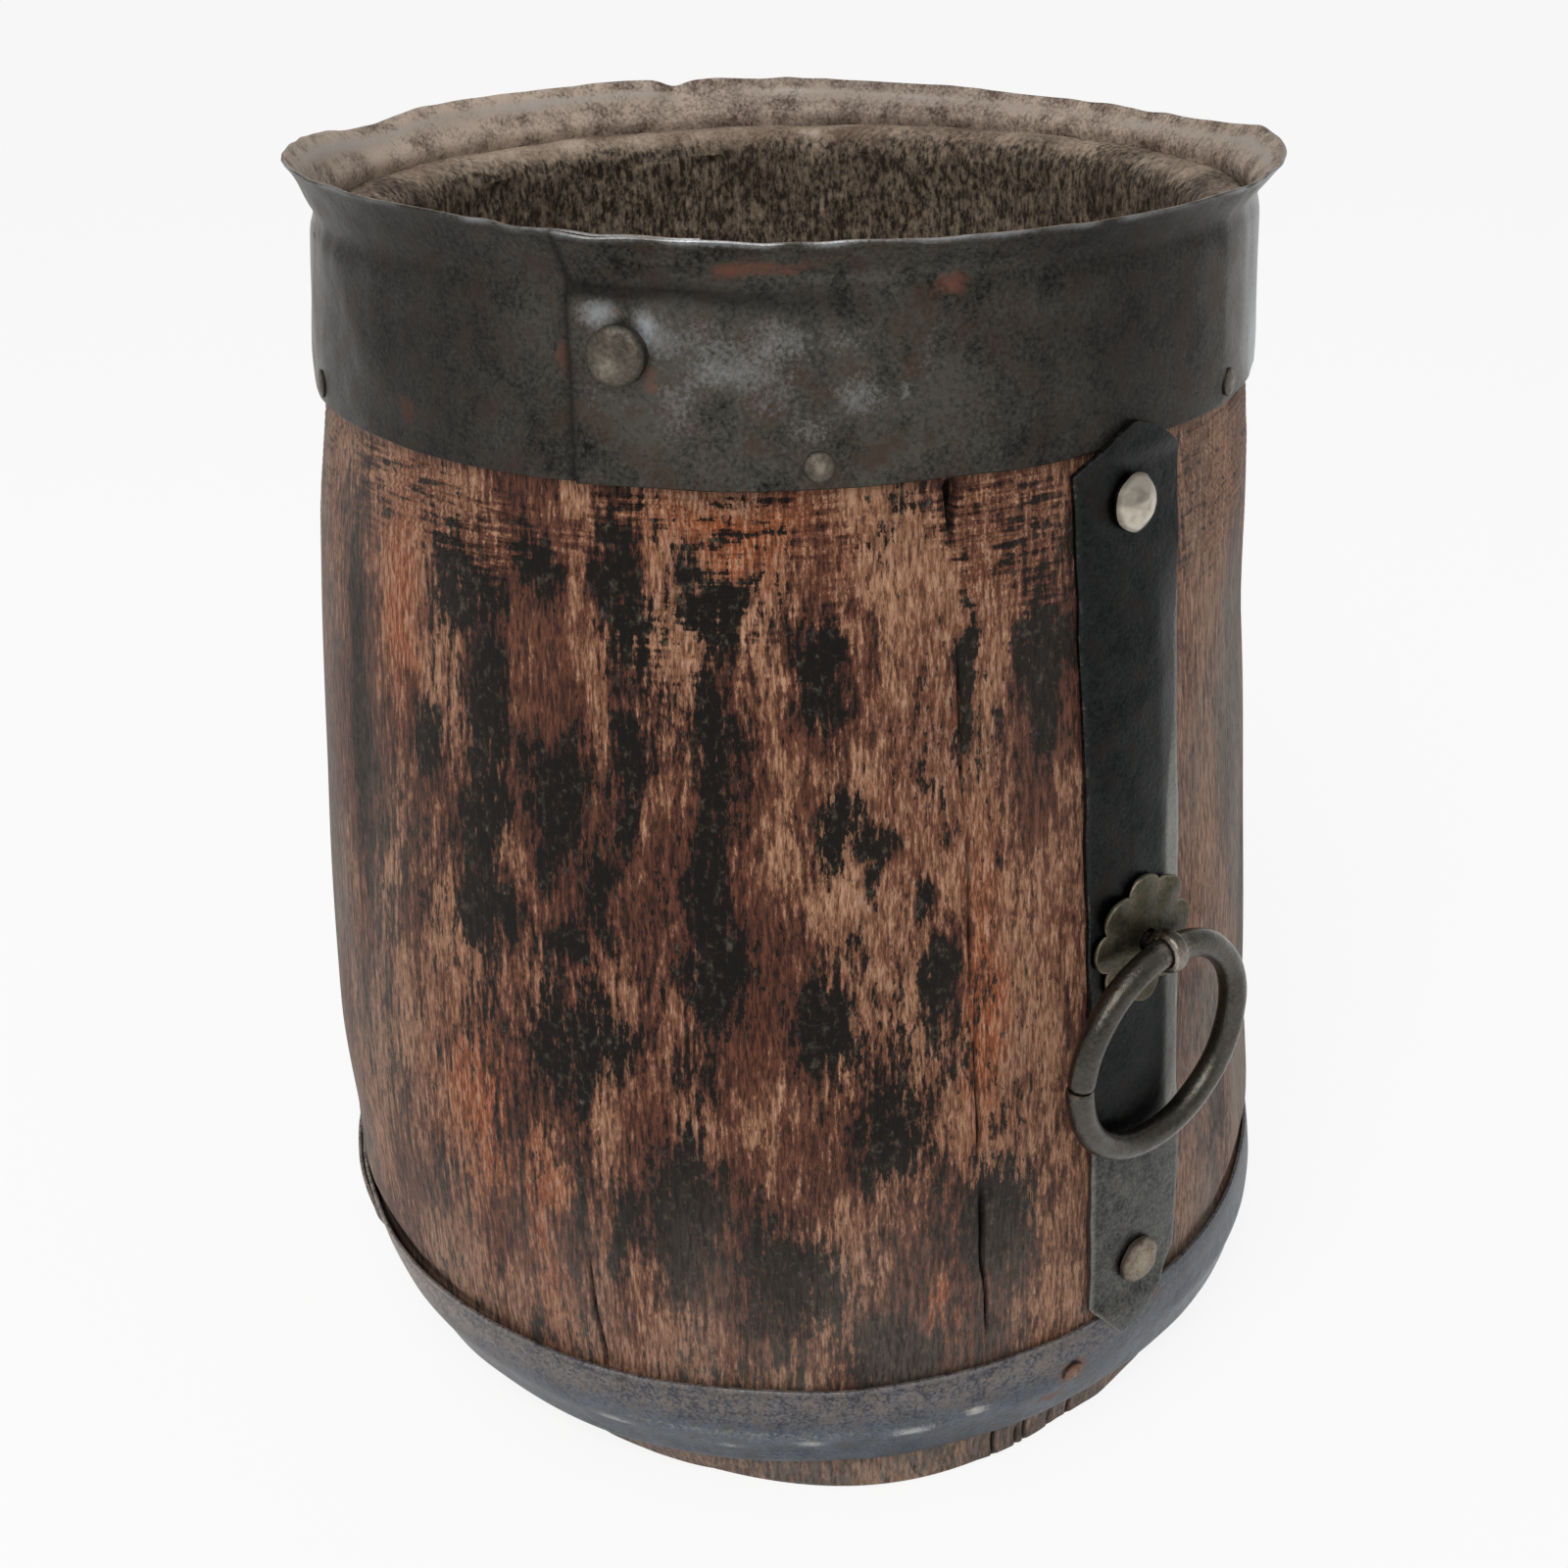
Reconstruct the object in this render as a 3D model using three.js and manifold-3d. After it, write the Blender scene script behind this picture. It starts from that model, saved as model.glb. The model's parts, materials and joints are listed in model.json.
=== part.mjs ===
// Grain measure: a hollowed wooden block bound at mouth and foot with sheet iron, with one iron strap
// that carries a lifting ring. Millimetres, +Z up. The origin is the centre of the foot on the floor,
// and the strap faces -Y. Azimuth is 0 at the strap and grows towards +X.
import * as THREE from "three";
import { mergeVertices } from "three/addons/utils/BufferGeometryUtils.js";
import Module from "manifold-3d";

const wasm = await Module();
wasm.setup();

const { lerp, smoothstep, degToRad } = THREE.MathUtils;

// Fits
const WOOD_FIT = 0.4; // between the wood and the iron bound round it
const CLEARANCE = 0.3; // between any other two pieces that touch

// Wooden body
const BODY_HEIGHT = 289;
const FOOT_RADIUS = 121;
const FOOT_EDGE = 1.5; // worn arris of the foot
const FOOT_CURVE = 1.4; // above 1 the foot stands steeper before it swells out
const BELLY_RADIUS = 129;
const BELLY_HEIGHT = 38.5;
const NECK_RADIUS = 108.6; // at the lower edge of the rim band
const MOUTH_RADIUS = 106.4; // outside, at the top of the wood
const TAPER_CURVE = 1.4; // above 1 the side stays full over the belly
const WALL_AT_MOUTH = 12.5;
const WALL_AT_FOOT = 16;
const FLOOR_THICKNESS = 24;
const FLOOR_CORNER = 14; // radius between the wall and the floor
const MOUTH_ROUND_INSIDE = 7; // worn by pouring
const MOUTH_ROUND_OUTSIDE = 2;

// Rim band
const RIM_SHEET = 1;
const RIM_LAP_ON_WOOD = 35; // how far the band reaches down from the top of the wood
const LIP_STAND = 10.8; // how far the lip rises above the wood, on average
const LIP_TILT = 2.9; // how much higher it stands on its high side
const LIP_HIGH_AZIMUTH = -130;
const LIP_WAVE = 0.8; // how far the lip's edge rises and dips besides
const LIP_WAVES = 3;
const LIP_WAVE_AZIMUTH = 28; // of one crest
const FLARE_DEPTH = 12; // height of the part that is beaten outwards
const FLARE_CURVE = 2; // power by which the flare sweeps out
const LIP_FLARE = 3.8;
const LIP_NECK = 1.2; // how far the sheet is drawn in over the edge of the wood, under the flare
const LIP_NECK_RISE = 2.5; // above the top of the wood
const LIP_NECK_REACH = 2.5; // up and down from there
const LIP_TIP = 1.4; // extra flare where the lip is pulled out into a point
const LIP_TIP_AZIMUTH = 46;
const LIP_TIP_SPREAD = 24; // degrees
const RIM_SEAM_AZIMUTH = -59.2;
const RIM_SEAM_LAP = 26;
const RIM_SEAM_RAMP = 26; // length in which the outer end comes down onto the wood

// Base band
const BASE_SHEET = 1;
const BASE_BAND_LOW = 11.3;
const BASE_BAND_HEIGHT = 29.4;
const BASE_STANDOFF = 0.8; // how far the upper edge stands off the wood near the seam
const BASE_STANDOFF_SPREAD = 38; // degrees
const BASE_SEAM_AZIMUTH = -107;
const BASE_SEAM_LAP = 24;
const BASE_SEAM_RAMP = 26;

// Side strap
const STRAP_SHEET = 1.6;
const STRAP_WIDTH = 29.4;
const STRAP_OVER_RIM = 4.4; // how far the upper point laps over the rim band
const STRAP_OVER_BASE = 6.6;
const STRAP_UPPER_POINT = 8; // height of the upper point above its shoulders
const STRAP_LOWER_POINT_LEFT = 11.5;
const STRAP_LOWER_POINT_RIGHT = 16;
const STRAP_TIP_OFFSET = 4.5; // the lower tip lies this far left of the middle
const STRAP_POINT_CURVE = 0.8; // below 1 the sides of a point swell outwards
const STRAP_TIP_WIDTH = 1.2;
const STRAP_BEVEL = 1; // how far the right-hand margin is hammered back
const STRAP_BEVEL_START = 0.55; // share of half the width at which it starts
const STRAP_BEVEL_INSET = 26; // from either end of the strap
const STRAP_BEVEL_FADE = 16;
const STRAP_JOGGLE = 6; // length in which the strap steps up onto a band

// Ring, its staple and the rosette under it
const EYE_HEIGHT = 144;
const RING_RADIUS = 25.6; // to the middle of the bar
const RING_BAR = 6.4;
const RING_JOINT = 0.4; // gap between the butted ends
const RING_JOINT_ANGLE = 178; // degrees from the ring's right-hand side, counter-clockwise
const EYE_PLAY = 0.5; // between the bar and the eye
const STAPLE_WIDTH = 3.8;
const STAPLE_THICKNESS = 1.4;
const STAPLE_BEND = 1.2; // radius of the staple's bends
const CLENCH_LENGTH = 14;
const ROSETTE_RADIUS = 15.6;
const ROSETTE_SHEET = 0.8;
const ROSETTE_DOME = 1.2;
const ROSETTE_LOBES = 8;
const ROSETTE_NOTCH = 2.2; // depth of the notches between the lobes
const ROSETTE_LOBE_CURVE = 0.7; // below 1 the lobes are fuller and the notches sharper

// Nails: radius of the head, height of its edge, rise of its crown, radius and length of the shank
const DOME_NAIL = { head: 6, edge: 0.8, crown: 3, shank: 1.2, length: 10 };
const FLAT_NAIL = { head: 6.2, edge: 1.2, crown: 0.8, shank: 1.3, length: 11 };
const SEAM_NAIL = { head: 5.6, edge: 2.6, crown: 0.8, shank: 1.5, length: 9.5 };
const SMALL_NAIL = { head: 3, edge: 0.5, crown: 0.7, shank: 0.9, length: 8.5 };
const NAIL_POINT = 2.5;
const STRAP_NAIL_UNDER_RIM = 12; // below the rim band's lower edge
const STRAP_NAIL_OVER_BASE = 13.6; // above the base band's upper edge
const SEAM_NAIL_FROM_EDGE = 10; // along the band, from its outer end
const SEAM_NAIL_UNDER_MOUTH = 10.2;
const RIM_NAIL_RISE = 4; // above the rim band's lower edge
const RIM_NAIL_AZIMUTHS = [-35, 19, 75, 135, 195, 255];
const BASE_NAIL_RISE = 15.7; // above the base band's lower edge
const BASE_NAIL_AZIMUTHS = [-8.1, -112.5, 120];

// Facets
const BODY_SEGMENTS = 64;
const SIDE_SPANS = 7; // between the two bands
const CAVITY_SPANS = 5;
const HOOP_STEPS = 80;
const BAND_SPANS = 4;
const LIP_SPANS = 3;
const STRAP_SPANS = 12;
const STRAP_COLUMNS = 6;
const BEND_SPANS = 5;
const LOBE_SPANS = 6;
const NAIL_SEGMENTS = 10;
const CROWN_SPANS = 3;
const RING_STEPS = 44;
const BAR_SIDES = 10;
const SAME_POINT = 0.05; // points of a bend nearer than this are one

// Heights that follow from the sizes above
const RIM_LOW = BODY_HEIGHT - RIM_LAP_ON_WOOD;
const BASE_TOP = BASE_BAND_LOW + BASE_BAND_HEIGHT;
const STRAP_TOP = RIM_LOW + STRAP_OVER_RIM;
const STRAP_FOOT = BASE_TOP - STRAP_OVER_BASE;
const BASE_HEIGHTS = spread(BASE_BAND_LOW, BASE_TOP, BAND_SPANS); // shared by the wood and its band

// Numbers from one value to another, both included.
function spread(from, to, steps) {
  return Array.from({ length: steps + 1 }, (_, i) => lerp(from, to, i / steps));
}

// Point at an azimuth in radians.
function around(radius, azimuth, z) {
  return new THREE.Vector3(radius * Math.sin(azimuth), -radius * Math.cos(azimuth), z);
}

// Bump of height 1 about an azimuth, fading with the angle away from it.
function bump(azimuth, centre, width) {
  const away = Math.atan2(Math.sin(azimuth - centre), Math.cos(azimuth - centre));
  return Math.exp(-((away / width) ** 2));
}

// Outside of the wood: a foot that swells out to the belly, a full taper and a steeper neck.
function woodRadius(z) {
  if (z < BELLY_HEIGHT) {
    const rise = Math.sin(((Math.PI / 2) * z) / BELLY_HEIGHT) ** FOOT_CURVE;
    return lerp(FOOT_RADIUS, BELLY_RADIUS, rise);
  }
  if (z > RIM_LOW) {
    return lerp(NECK_RADIUS, MOUTH_RADIUS, Math.min(1, (z - RIM_LOW) / RIM_LAP_ON_WOOD));
  }
  const share = (z - BELLY_HEIGHT) / (RIM_LOW - BELLY_HEIGHT);
  return lerp(BELLY_RADIUS, NECK_RADIUS, share ** TAPER_CURVE);
}

// Inside of the wood: the wall grows thicker towards the foot.
function cavityRadius(z) {
  return woodRadius(z) - lerp(WALL_AT_FOOT, WALL_AT_MOUTH, z / BODY_HEIGHT);
}

// Closed surface through a row of sections with the same even number of points. Point i of a section
// faces point n-1-i, so an end is capped by the rungs between them.
function loft(sections, closed = false) {
  const n = sections[0].length;
  const index = [];
  const quad = (a, b, c, d) => index.push(a, b, c, a, c, d);
  const spans = closed ? sections.length : sections.length - 1;
  for (let s = 0; s < spans; s++) {
    const here = s * n;
    const next = ((s + 1) % sections.length) * n;
    for (let i = 0; i < n; i++) {
      const j = (i + 1) % n;
      quad(here + i, here + j, next + j, next + i);
    }
  }
  if (!closed) {
    const end = (sections.length - 1) * n;
    for (let i = 0; i < n / 2 - 1; i++) {
      const facing = n - 1 - i;
      quad(i, facing, facing - 1, i + 1);
      quad(end + i, end + i + 1, end + facing - 1, end + facing);
    }
  }
  const geometry = new THREE.BufferGeometry().setFromPoints(sections.flat());
  return geometry.setIndex(index);
}

// Solid of revolution about Z from a profile of radius and height.
function turned(profile, segments) {
  return new THREE.LatheGeometry(profile, segments).rotateX(Math.PI / 2);
}

// Closed geometry as a solid, turned right side out.
function solid(geometry) {
  const bare = new THREE.BufferGeometry();
  bare.setAttribute("position", geometry.getAttribute("position"));
  bare.setIndex(geometry.index);
  const merged = mergeVertices(bare, 1e-4);
  const triVerts = new Uint32Array(merged.index.array);
  const vertProperties = merged.getAttribute("position").array;
  const made = new wasm.Manifold(new wasm.Mesh({ numProp: 3, vertProperties, triVerts }));
  if (made.volume() > 0) return made;
  return new wasm.Manifold(new wasm.Mesh({ numProp: 3, vertProperties, triVerts: triVerts.reverse() }));
}

// Geometry with every tool cut out of it.
function cut(geometry, tools = []) {
  const mesh = tools.reduce((body, tool) => body.subtract(solid(tool)), solid(geometry)).getMesh();
  const result = new THREE.BufferGeometry();
  result.setAttribute("position", new THREE.BufferAttribute(mesh.vertProperties, 3));
  result.setIndex(new THREE.BufferAttribute(mesh.triVerts, 1));
  result.computeVertexNormals();
  return result;
}

// A strip bent round the body until its ends overlap. It starts with its outer end at the seam, stays
// lifted over its own inner end for the length of the lap, and then comes down onto the wood.
function makeHoop({ seam, turn, sheet, lap, ramp, radius }) {
  const lapAngle = lap / radius;
  const down = lapAngle + (2 * sheet) / radius;
  const lifted = sheet + CLEARANCE;
  const liftAlong = (along) => lifted * (1 - smoothstep(along, down, down + ramp / radius));
  return {
    // Lift of the layer that shows at an azimuth.
    liftAt(azimuth) {
      const along = (azimuth - seam) * turn;
      return liftAlong(along - 2 * Math.PI * Math.floor(along / (2 * Math.PI)));
    },
    // The strip's sections, each made by a function of azimuth and lift.
    wrap(sectionAt) {
      return loft(
        spread(0, 2 * Math.PI + lapAngle, HOOP_STEPS).map((along) =>
          sectionAt(seam + turn * along, liftAlong(along)),
        ),
      );
    },
  };
}

// Section of a sheet at an azimuth: its outer face upwards, then its inner face downwards.
function sheetSection(azimuth, heights, innerRadius, sheet) {
  const outer = heights.map((z) => around(innerRadius(z) + sheet, azimuth, z));
  const inner = heights.map((z) => around(innerRadius(z), azimuth, z));
  return [...outer, ...inner.reverse()];
}

// Rim band
const rimHoop = makeHoop({
  seam: degToRad(RIM_SEAM_AZIMUTH),
  turn: 1,
  sheet: RIM_SHEET,
  lap: RIM_SEAM_LAP,
  ramp: RIM_SEAM_RAMP,
  radius: NECK_RADIUS,
});

function lipTop(azimuth) {
  const tilt = LIP_TILT * Math.cos(azimuth - degToRad(LIP_HIGH_AZIMUTH));
  const wave = LIP_WAVE * Math.cos(LIP_WAVES * (azimuth - degToRad(LIP_WAVE_AZIMUTH)));
  return BODY_HEIGHT + LIP_STAND + tilt + wave;
}

function rimInner(azimuth, z) {
  const tip = LIP_TIP * bump(azimuth, degToRad(LIP_TIP_AZIMUTH), degToRad(LIP_TIP_SPREAD));
  const flare = LIP_FLARE + tip;
  const share = Math.max(0, 1 - (lipTop(azimuth) - z) / FLARE_DEPTH);
  const neck = LIP_NECK * Math.exp(-(((z - BODY_HEIGHT - LIP_NECK_RISE) / LIP_NECK_REACH) ** 2));
  return woodRadius(z) + WOOD_FIT + flare * share ** FLARE_CURVE - neck;
}

function rimOuter(azimuth, z) {
  return rimInner(azimuth, z) + RIM_SHEET + rimHoop.liftAt(azimuth);
}

function rimBand() {
  const onWood = spread(RIM_LOW, BODY_HEIGHT - MOUTH_ROUND_OUTSIDE, 2);
  return rimHoop.wrap((azimuth, lift) => {
    const heights = [...onWood, ...spread(BODY_HEIGHT + LIP_NECK_RISE, lipTop(azimuth), LIP_SPANS)];
    return sheetSection(azimuth, heights, (z) => rimInner(azimuth, z) + lift, RIM_SHEET);
  });
}

// Base band
const baseHoop = makeHoop({
  seam: degToRad(BASE_SEAM_AZIMUTH),
  turn: -1,
  sheet: BASE_SHEET,
  lap: BASE_SEAM_LAP,
  ramp: BASE_SEAM_RAMP,
  radius: BELLY_RADIUS,
});

function baseInner(azimuth, z) {
  const near = bump(azimuth, degToRad(BASE_SEAM_AZIMUTH), degToRad(BASE_STANDOFF_SPREAD));
  const share = (z - BASE_BAND_LOW) / BASE_BAND_HEIGHT;
  return woodRadius(z) + WOOD_FIT + BASE_STANDOFF * near * share ** 2;
}

function baseOuter(azimuth, z) {
  return baseInner(azimuth, z) + BASE_SHEET + baseHoop.liftAt(azimuth);
}

function baseBand() {
  return baseHoop.wrap((azimuth, lift) =>
    sheetSection(azimuth, BASE_HEIGHTS, (z) => baseInner(azimuth, z) + lift, BASE_SHEET),
  );
}

// Wooden body: hollowed from one block, with its floor left in
function woodenBody() {
  const arc = (x, z, radius, from, to, steps) =>
    spread(degToRad(from), degToRad(to), steps).map(
      (a) => new THREE.Vector2(x + radius * Math.cos(a), z + radius * Math.sin(a)),
    );
  const sideHeights = [FOOT_EDGE, ...BASE_HEIGHTS, ...spread(BASE_TOP, RIM_LOW, SIDE_SPANS).slice(1)];
  const side = sideHeights.map((z) => new THREE.Vector2(woodRadius(z), z));
  const cornerHeight = FLOOR_THICKNESS + FLOOR_CORNER;
  const shoulder = BODY_HEIGHT - MOUTH_ROUND_INSIDE;
  const insideHeights = spread(shoulder, cornerHeight, CAVITY_SPANS);
  const inside = insideHeights.map((z) => new THREE.Vector2(cavityRadius(z), z));
  const mouthCentre = cavityRadius(shoulder) + MOUTH_ROUND_INSIDE;
  const outerCentre = MOUTH_RADIUS - MOUTH_ROUND_OUTSIDE;
  const profile = [
    new THREE.Vector2(0, 0),
    new THREE.Vector2(FOOT_RADIUS - FOOT_EDGE, 0),
    ...side,
    ...arc(outerCentre, BODY_HEIGHT - MOUTH_ROUND_OUTSIDE, MOUTH_ROUND_OUTSIDE, 0, 90, 2),
    ...arc(mouthCentre, shoulder, MOUTH_ROUND_INSIDE, 90, 180, 3).slice(0, -1),
    ...inside,
    ...arc(cavityRadius(cornerHeight) - FLOOR_CORNER, cornerHeight, FLOOR_CORNER, 0, -90, 4).slice(1),
    new THREE.Vector2(0, FLOOR_THICKNESS),
  ];
  return turned(profile, BODY_SEGMENTS);
}

// Side strap: follows the taper and steps up onto both bands
function strapInner(z) {
  const overRim = smoothstep(z, RIM_LOW - STRAP_JOGGLE, RIM_LOW - CLEARANCE);
  const overBase = 1 - smoothstep(z, BASE_TOP + CLEARANCE, BASE_TOP + STRAP_JOGGLE);
  const step = overRim * (RIM_SHEET + CLEARANCE) + overBase * (BASE_SHEET + CLEARANCE);
  return woodRadius(z) + WOOD_FIT + step;
}

function strapOuter(z) {
  return strapInner(z) + STRAP_SHEET;
}

// Distance of the strap's left (-1) or right (1) edge from its middle.
function strapEdge(z, side) {
  const upper = Math.min(1, (STRAP_TOP - z) / STRAP_UPPER_POINT);
  const lower = Math.min(1, (z - STRAP_FOOT) / (side < 0 ? STRAP_LOWER_POINT_LEFT : STRAP_LOWER_POINT_RIGHT));
  const tip = lower < 1 ? -STRAP_TIP_OFFSET : 0;
  const share = Math.min(upper, lower) ** STRAP_POINT_CURVE;
  return lerp(tip + (side * STRAP_TIP_WIDTH) / 2, (side * STRAP_WIDTH) / 2, share);
}

// How far the strap's face is hammered back at a distance right of its middle.
function strapBevel(across, z) {
  const share = (2 * across) / STRAP_WIDTH;
  const back = Math.max(0, (share - STRAP_BEVEL_START) / (1 - STRAP_BEVEL_START));
  const inset = Math.min(z - STRAP_FOOT, STRAP_TOP - z);
  return STRAP_BEVEL * back * smoothstep(inset, STRAP_BEVEL_INSET, STRAP_BEVEL_INSET + STRAP_BEVEL_FADE);
}

function sideStrap() {
  const plain = spread(BASE_TOP + STRAP_JOGGLE, RIM_LOW - STRAP_JOGGLE, STRAP_SPANS);
  const lower = spread(STRAP_FOOT, STRAP_FOOT + STRAP_LOWER_POINT_RIGHT, BAND_SPANS);
  const upper = spread(STRAP_TOP - STRAP_UPPER_POINT, STRAP_TOP, BAND_SPANS);
  const steps = [STRAP_FOOT + STRAP_LOWER_POINT_LEFT, BASE_TOP + CLEARANCE, RIM_LOW - CLEARANCE];
  const heights = [...plain, ...lower, ...upper, ...steps].sort((a, b) => a - b);
  return loft(
    heights.map((z) => {
      const left = strapEdge(z, -1);
      const right = strapEdge(z, 1);
      const flatEnd = lerp(left, right, (1 + STRAP_BEVEL_START) / 2);
      const across = [...spread(left, flatEnd, STRAP_COLUMNS - 1), right];
      const outer = across.map((u) => around(strapOuter(z) - strapBevel(u, z), u / woodRadius(z), z));
      const inner = across.map((u) => around(strapInner(z), u / woodRadius(z), z));
      return [...outer, ...inner.reverse()];
    }),
  );
}

// Staple: one length of half-round wire, doubled round the eye, with both legs clenched inside
const EYE_MIDLINE = RING_BAR / 2 + EYE_PLAY + STAPLE_THICKNESS / 2;
const LEG_OFFSET = (STAPLE_THICKNESS + CLEARANCE) / 2;
const EYE_REACH = Math.sqrt((EYE_MIDLINE + STAPLE_BEND) ** 2 - (LEG_OFFSET + STAPLE_BEND) ** 2);
const ROSETTE_FACE = strapOuter(EYE_HEIGHT) + CLEARANCE + ROSETTE_SHEET + ROSETTE_DOME;
const EYE_CENTRE = ROSETTE_FACE + CLEARANCE + EYE_REACH; // distance from the body's axis
const LEG_HOLE =
  Math.hypot(STAPLE_WIDTH / 2, LEG_OFFSET + STAPLE_THICKNESS / 2) + CLEARANCE;

// Half of the staple's midline as distance from the axis and height over the eye: from the clenched
// end, out along a leg and round to the front of the eye.
function stapleHalf(side) {
  const path = new THREE.Path();
  const rest = CLEARANCE + STAPLE_THICKNESS / 2;
  const wallAt = (height) => cavityRadius(EYE_HEIGHT + side * height) - rest;
  const lean = Math.atan2(wallAt(CLENCH_LENGTH) - wallAt(0), CLENCH_LENGTH);
  const bendHeight = LEG_OFFSET + STAPLE_BEND;
  const bendX = wallAt(bendHeight) + STAPLE_BEND * Math.cos(lean);
  const from = Math.PI - lean;
  path.moveTo(wallAt(CLENCH_LENGTH), CLENCH_LENGTH);
  path.lineTo(bendX + STAPLE_BEND * Math.cos(from), bendHeight + STAPLE_BEND * Math.sin(from));
  path.absarc(bendX, bendHeight, STAPLE_BEND, from, 1.5 * Math.PI, false);
  const into = Math.atan2(-bendHeight, EYE_REACH);
  path.absarc(EYE_CENTRE - EYE_REACH, bendHeight, STAPLE_BEND, -Math.PI / 2, into, false);
  path.absarc(EYE_CENTRE, 0, EYE_MIDLINE, Math.PI + into, 0, true);
  return path.getPoints(BEND_SPANS).map((p) => new THREE.Vector2(p.x, side * p.y));
}

function ringStaple() {
  const line = [...stapleHalf(1), ...stapleHalf(-1).reverse()];
  const points = line.filter((p, i) => i === 0 || p.distanceTo(line[i - 1]) > SAME_POINT);
  const w = STAPLE_WIDTH / 2;
  const t = STAPLE_THICKNESS / 2;
  const section = [[-w, -t], [-w, t / 2], [-w / 2, t], [w / 2, t], [w, t / 2], [w, -t]];
  return loft(
    points.map((p, i) => {
      const before = p.clone().sub(points[Math.max(0, i - 1)]).normalize();
      const after = points[Math.min(points.length - 1, i + 1)].clone().sub(p).normalize();
      const along = before.clone().add(after).normalize();
      const mitre = 1 / Math.max(along.dot(before), along.dot(after));
      const out = new THREE.Vector2(-along.y, along.x).multiplyScalar(mitre);
      return section.map(
        ([x, depth]) => new THREE.Vector3(x, -(p.x + depth * out.x), EYE_HEIGHT + p.y + depth * out.y),
      );
    }),
  );
}

// Rosette: thin domed sheet with a lobed edge, bent to the strap
function rosette() {
  const outline = (angle) => {
    const lobe = Math.abs(Math.cos((ROSETTE_LOBES * angle) / 2)) ** ROSETTE_LOBE_CURVE;
    return ROSETTE_RADIUS - ROSETTE_NOTCH * (1 - lobe);
  };
  const face = (distance) => CLEARANCE + ROSETTE_DOME * Math.max(0, 1 - (distance / ROSETTE_RADIUS) ** 2);
  const angles = spread(0, 2 * Math.PI, ROSETTE_LOBES * LOBE_SPANS).slice(0, -1);
  return loft(
    angles.map((angle) => {
      const distances = spread(LEG_HOLE, outline(angle), CROWN_SPANS);
      const place = (distance, lift) => {
        const z = EYE_HEIGHT + distance * Math.sin(angle);
        const radius = strapOuter(z);
        return around(radius + face(distance) + lift, (distance * Math.cos(angle)) / radius, z);
      };
      const front = distances.map((d) => place(d, ROSETTE_SHEET));
      const back = distances.map((d) => place(d, 0));
      return [...front, ...back.reverse()];
    }),
    true,
  );
}

// Ring: round bar bent to a circle with its ends butted, hanging from the origin in the XZ plane
function ring() {
  const gap = RING_JOINT / RING_RADIUS;
  const start = degToRad(RING_JOINT_ANGLE) + gap / 2;
  const sides = spread(0, 2 * Math.PI, BAR_SIDES).slice(0, -1);
  return loft(
    spread(start, start + 2 * Math.PI - gap, RING_STEPS).map((angle) =>
      sides.map((side) => {
        const reach = RING_RADIUS + (RING_BAR / 2) * Math.cos(side);
        const depth = (RING_BAR / 2) * Math.sin(side);
        return new THREE.Vector3(reach * Math.cos(angle), depth, reach * Math.sin(angle) - RING_RADIUS);
      }),
    ),
  );
}

// Angle by which the hanging ring leans outwards from upright, so that its foot rests on the strap.
function ringLean() {
  const drop = 2 * RING_RADIUS;
  let lean = 0;
  for (let pass = 0; pass < 20; pass++) {
    const foot = EYE_HEIGHT - drop * Math.cos(lean);
    const need = strapOuter(foot) + CLEARANCE + RING_BAR / 2;
    lean = Math.asin((need - EYE_CENTRE) / drop);
  }
  return lean;
}

// Nail along +Y, with the underside of its head at the origin and its shank pointing down
function nail({ head, edge, crown, shank, length }) {
  const dome = spread(0, Math.PI / 2, CROWN_SPANS).map(
    (a) => new THREE.Vector2(head * Math.cos(a), edge + crown * Math.sin(a)),
  );
  dome[dome.length - 1].x = 0;
  const profile = [
    new THREE.Vector2(0, -length),
    new THREE.Vector2(shank, NAIL_POINT - length),
    new THREE.Vector2(shank, 0),
    new THREE.Vector2(head, 0),
    ...dome,
  ];
  return new THREE.LatheGeometry(profile, NAIL_SEGMENTS);
}

// Where a nail is driven: square to a surface given as a radius at an azimuth and a height.
function seat(surface, azimuth, z) {
  const slope = (surface(azimuth, z + 1) - surface(azimuth, z - 1)) / 2;
  const out = around(1, azimuth, -slope).normalize();
  const point = around(surface(azimuth, z), azimuth, z).addScaledVector(out, CLEARANCE);
  const turn = new THREE.Quaternion().setFromUnitVectors(new THREE.Vector3(0, 1, 0), out);
  return new THREE.Matrix4().compose(point, turn, new THREE.Vector3(1, 1, 1));
}

// Hole that a seated nail's shank goes through.
function nailHole({ kind, place }) {
  const radius = kind.shank + CLEARANCE;
  const length = kind.length + 2 * CLEARANCE;
  const tool = new THREE.CylinderGeometry(radius, radius, length, NAIL_SEGMENTS);
  return tool.translate(0, -kind.length / 2, 0).applyMatrix4(place);
}

const seamNailAzimuth = degToRad(RIM_SEAM_AZIMUTH) + SEAM_NAIL_FROM_EDGE / NECK_RADIUS;
const seamNailHeight = BODY_HEIGHT - SEAM_NAIL_UNDER_MOUTH;
const onStrap = (azimuth, z) => strapOuter(z);
const rimNails = [
  { name: "rim_seam_nail", kind: SEAM_NAIL, place: seat(rimOuter, seamNailAzimuth, seamNailHeight) },
  ...RIM_NAIL_AZIMUTHS.map((azimuth, i) => ({
    name: `rim_nail_${i + 1}`,
    kind: SMALL_NAIL,
    place: seat(rimOuter, degToRad(azimuth), RIM_LOW + RIM_NAIL_RISE),
  })),
];
const strapNails = [
  { name: "strap_top_nail", kind: DOME_NAIL, place: seat(onStrap, 0, RIM_LOW - STRAP_NAIL_UNDER_RIM) },
  { name: "strap_bottom_nail", kind: FLAT_NAIL, place: seat(onStrap, 0, BASE_TOP + STRAP_NAIL_OVER_BASE) },
];
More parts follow.
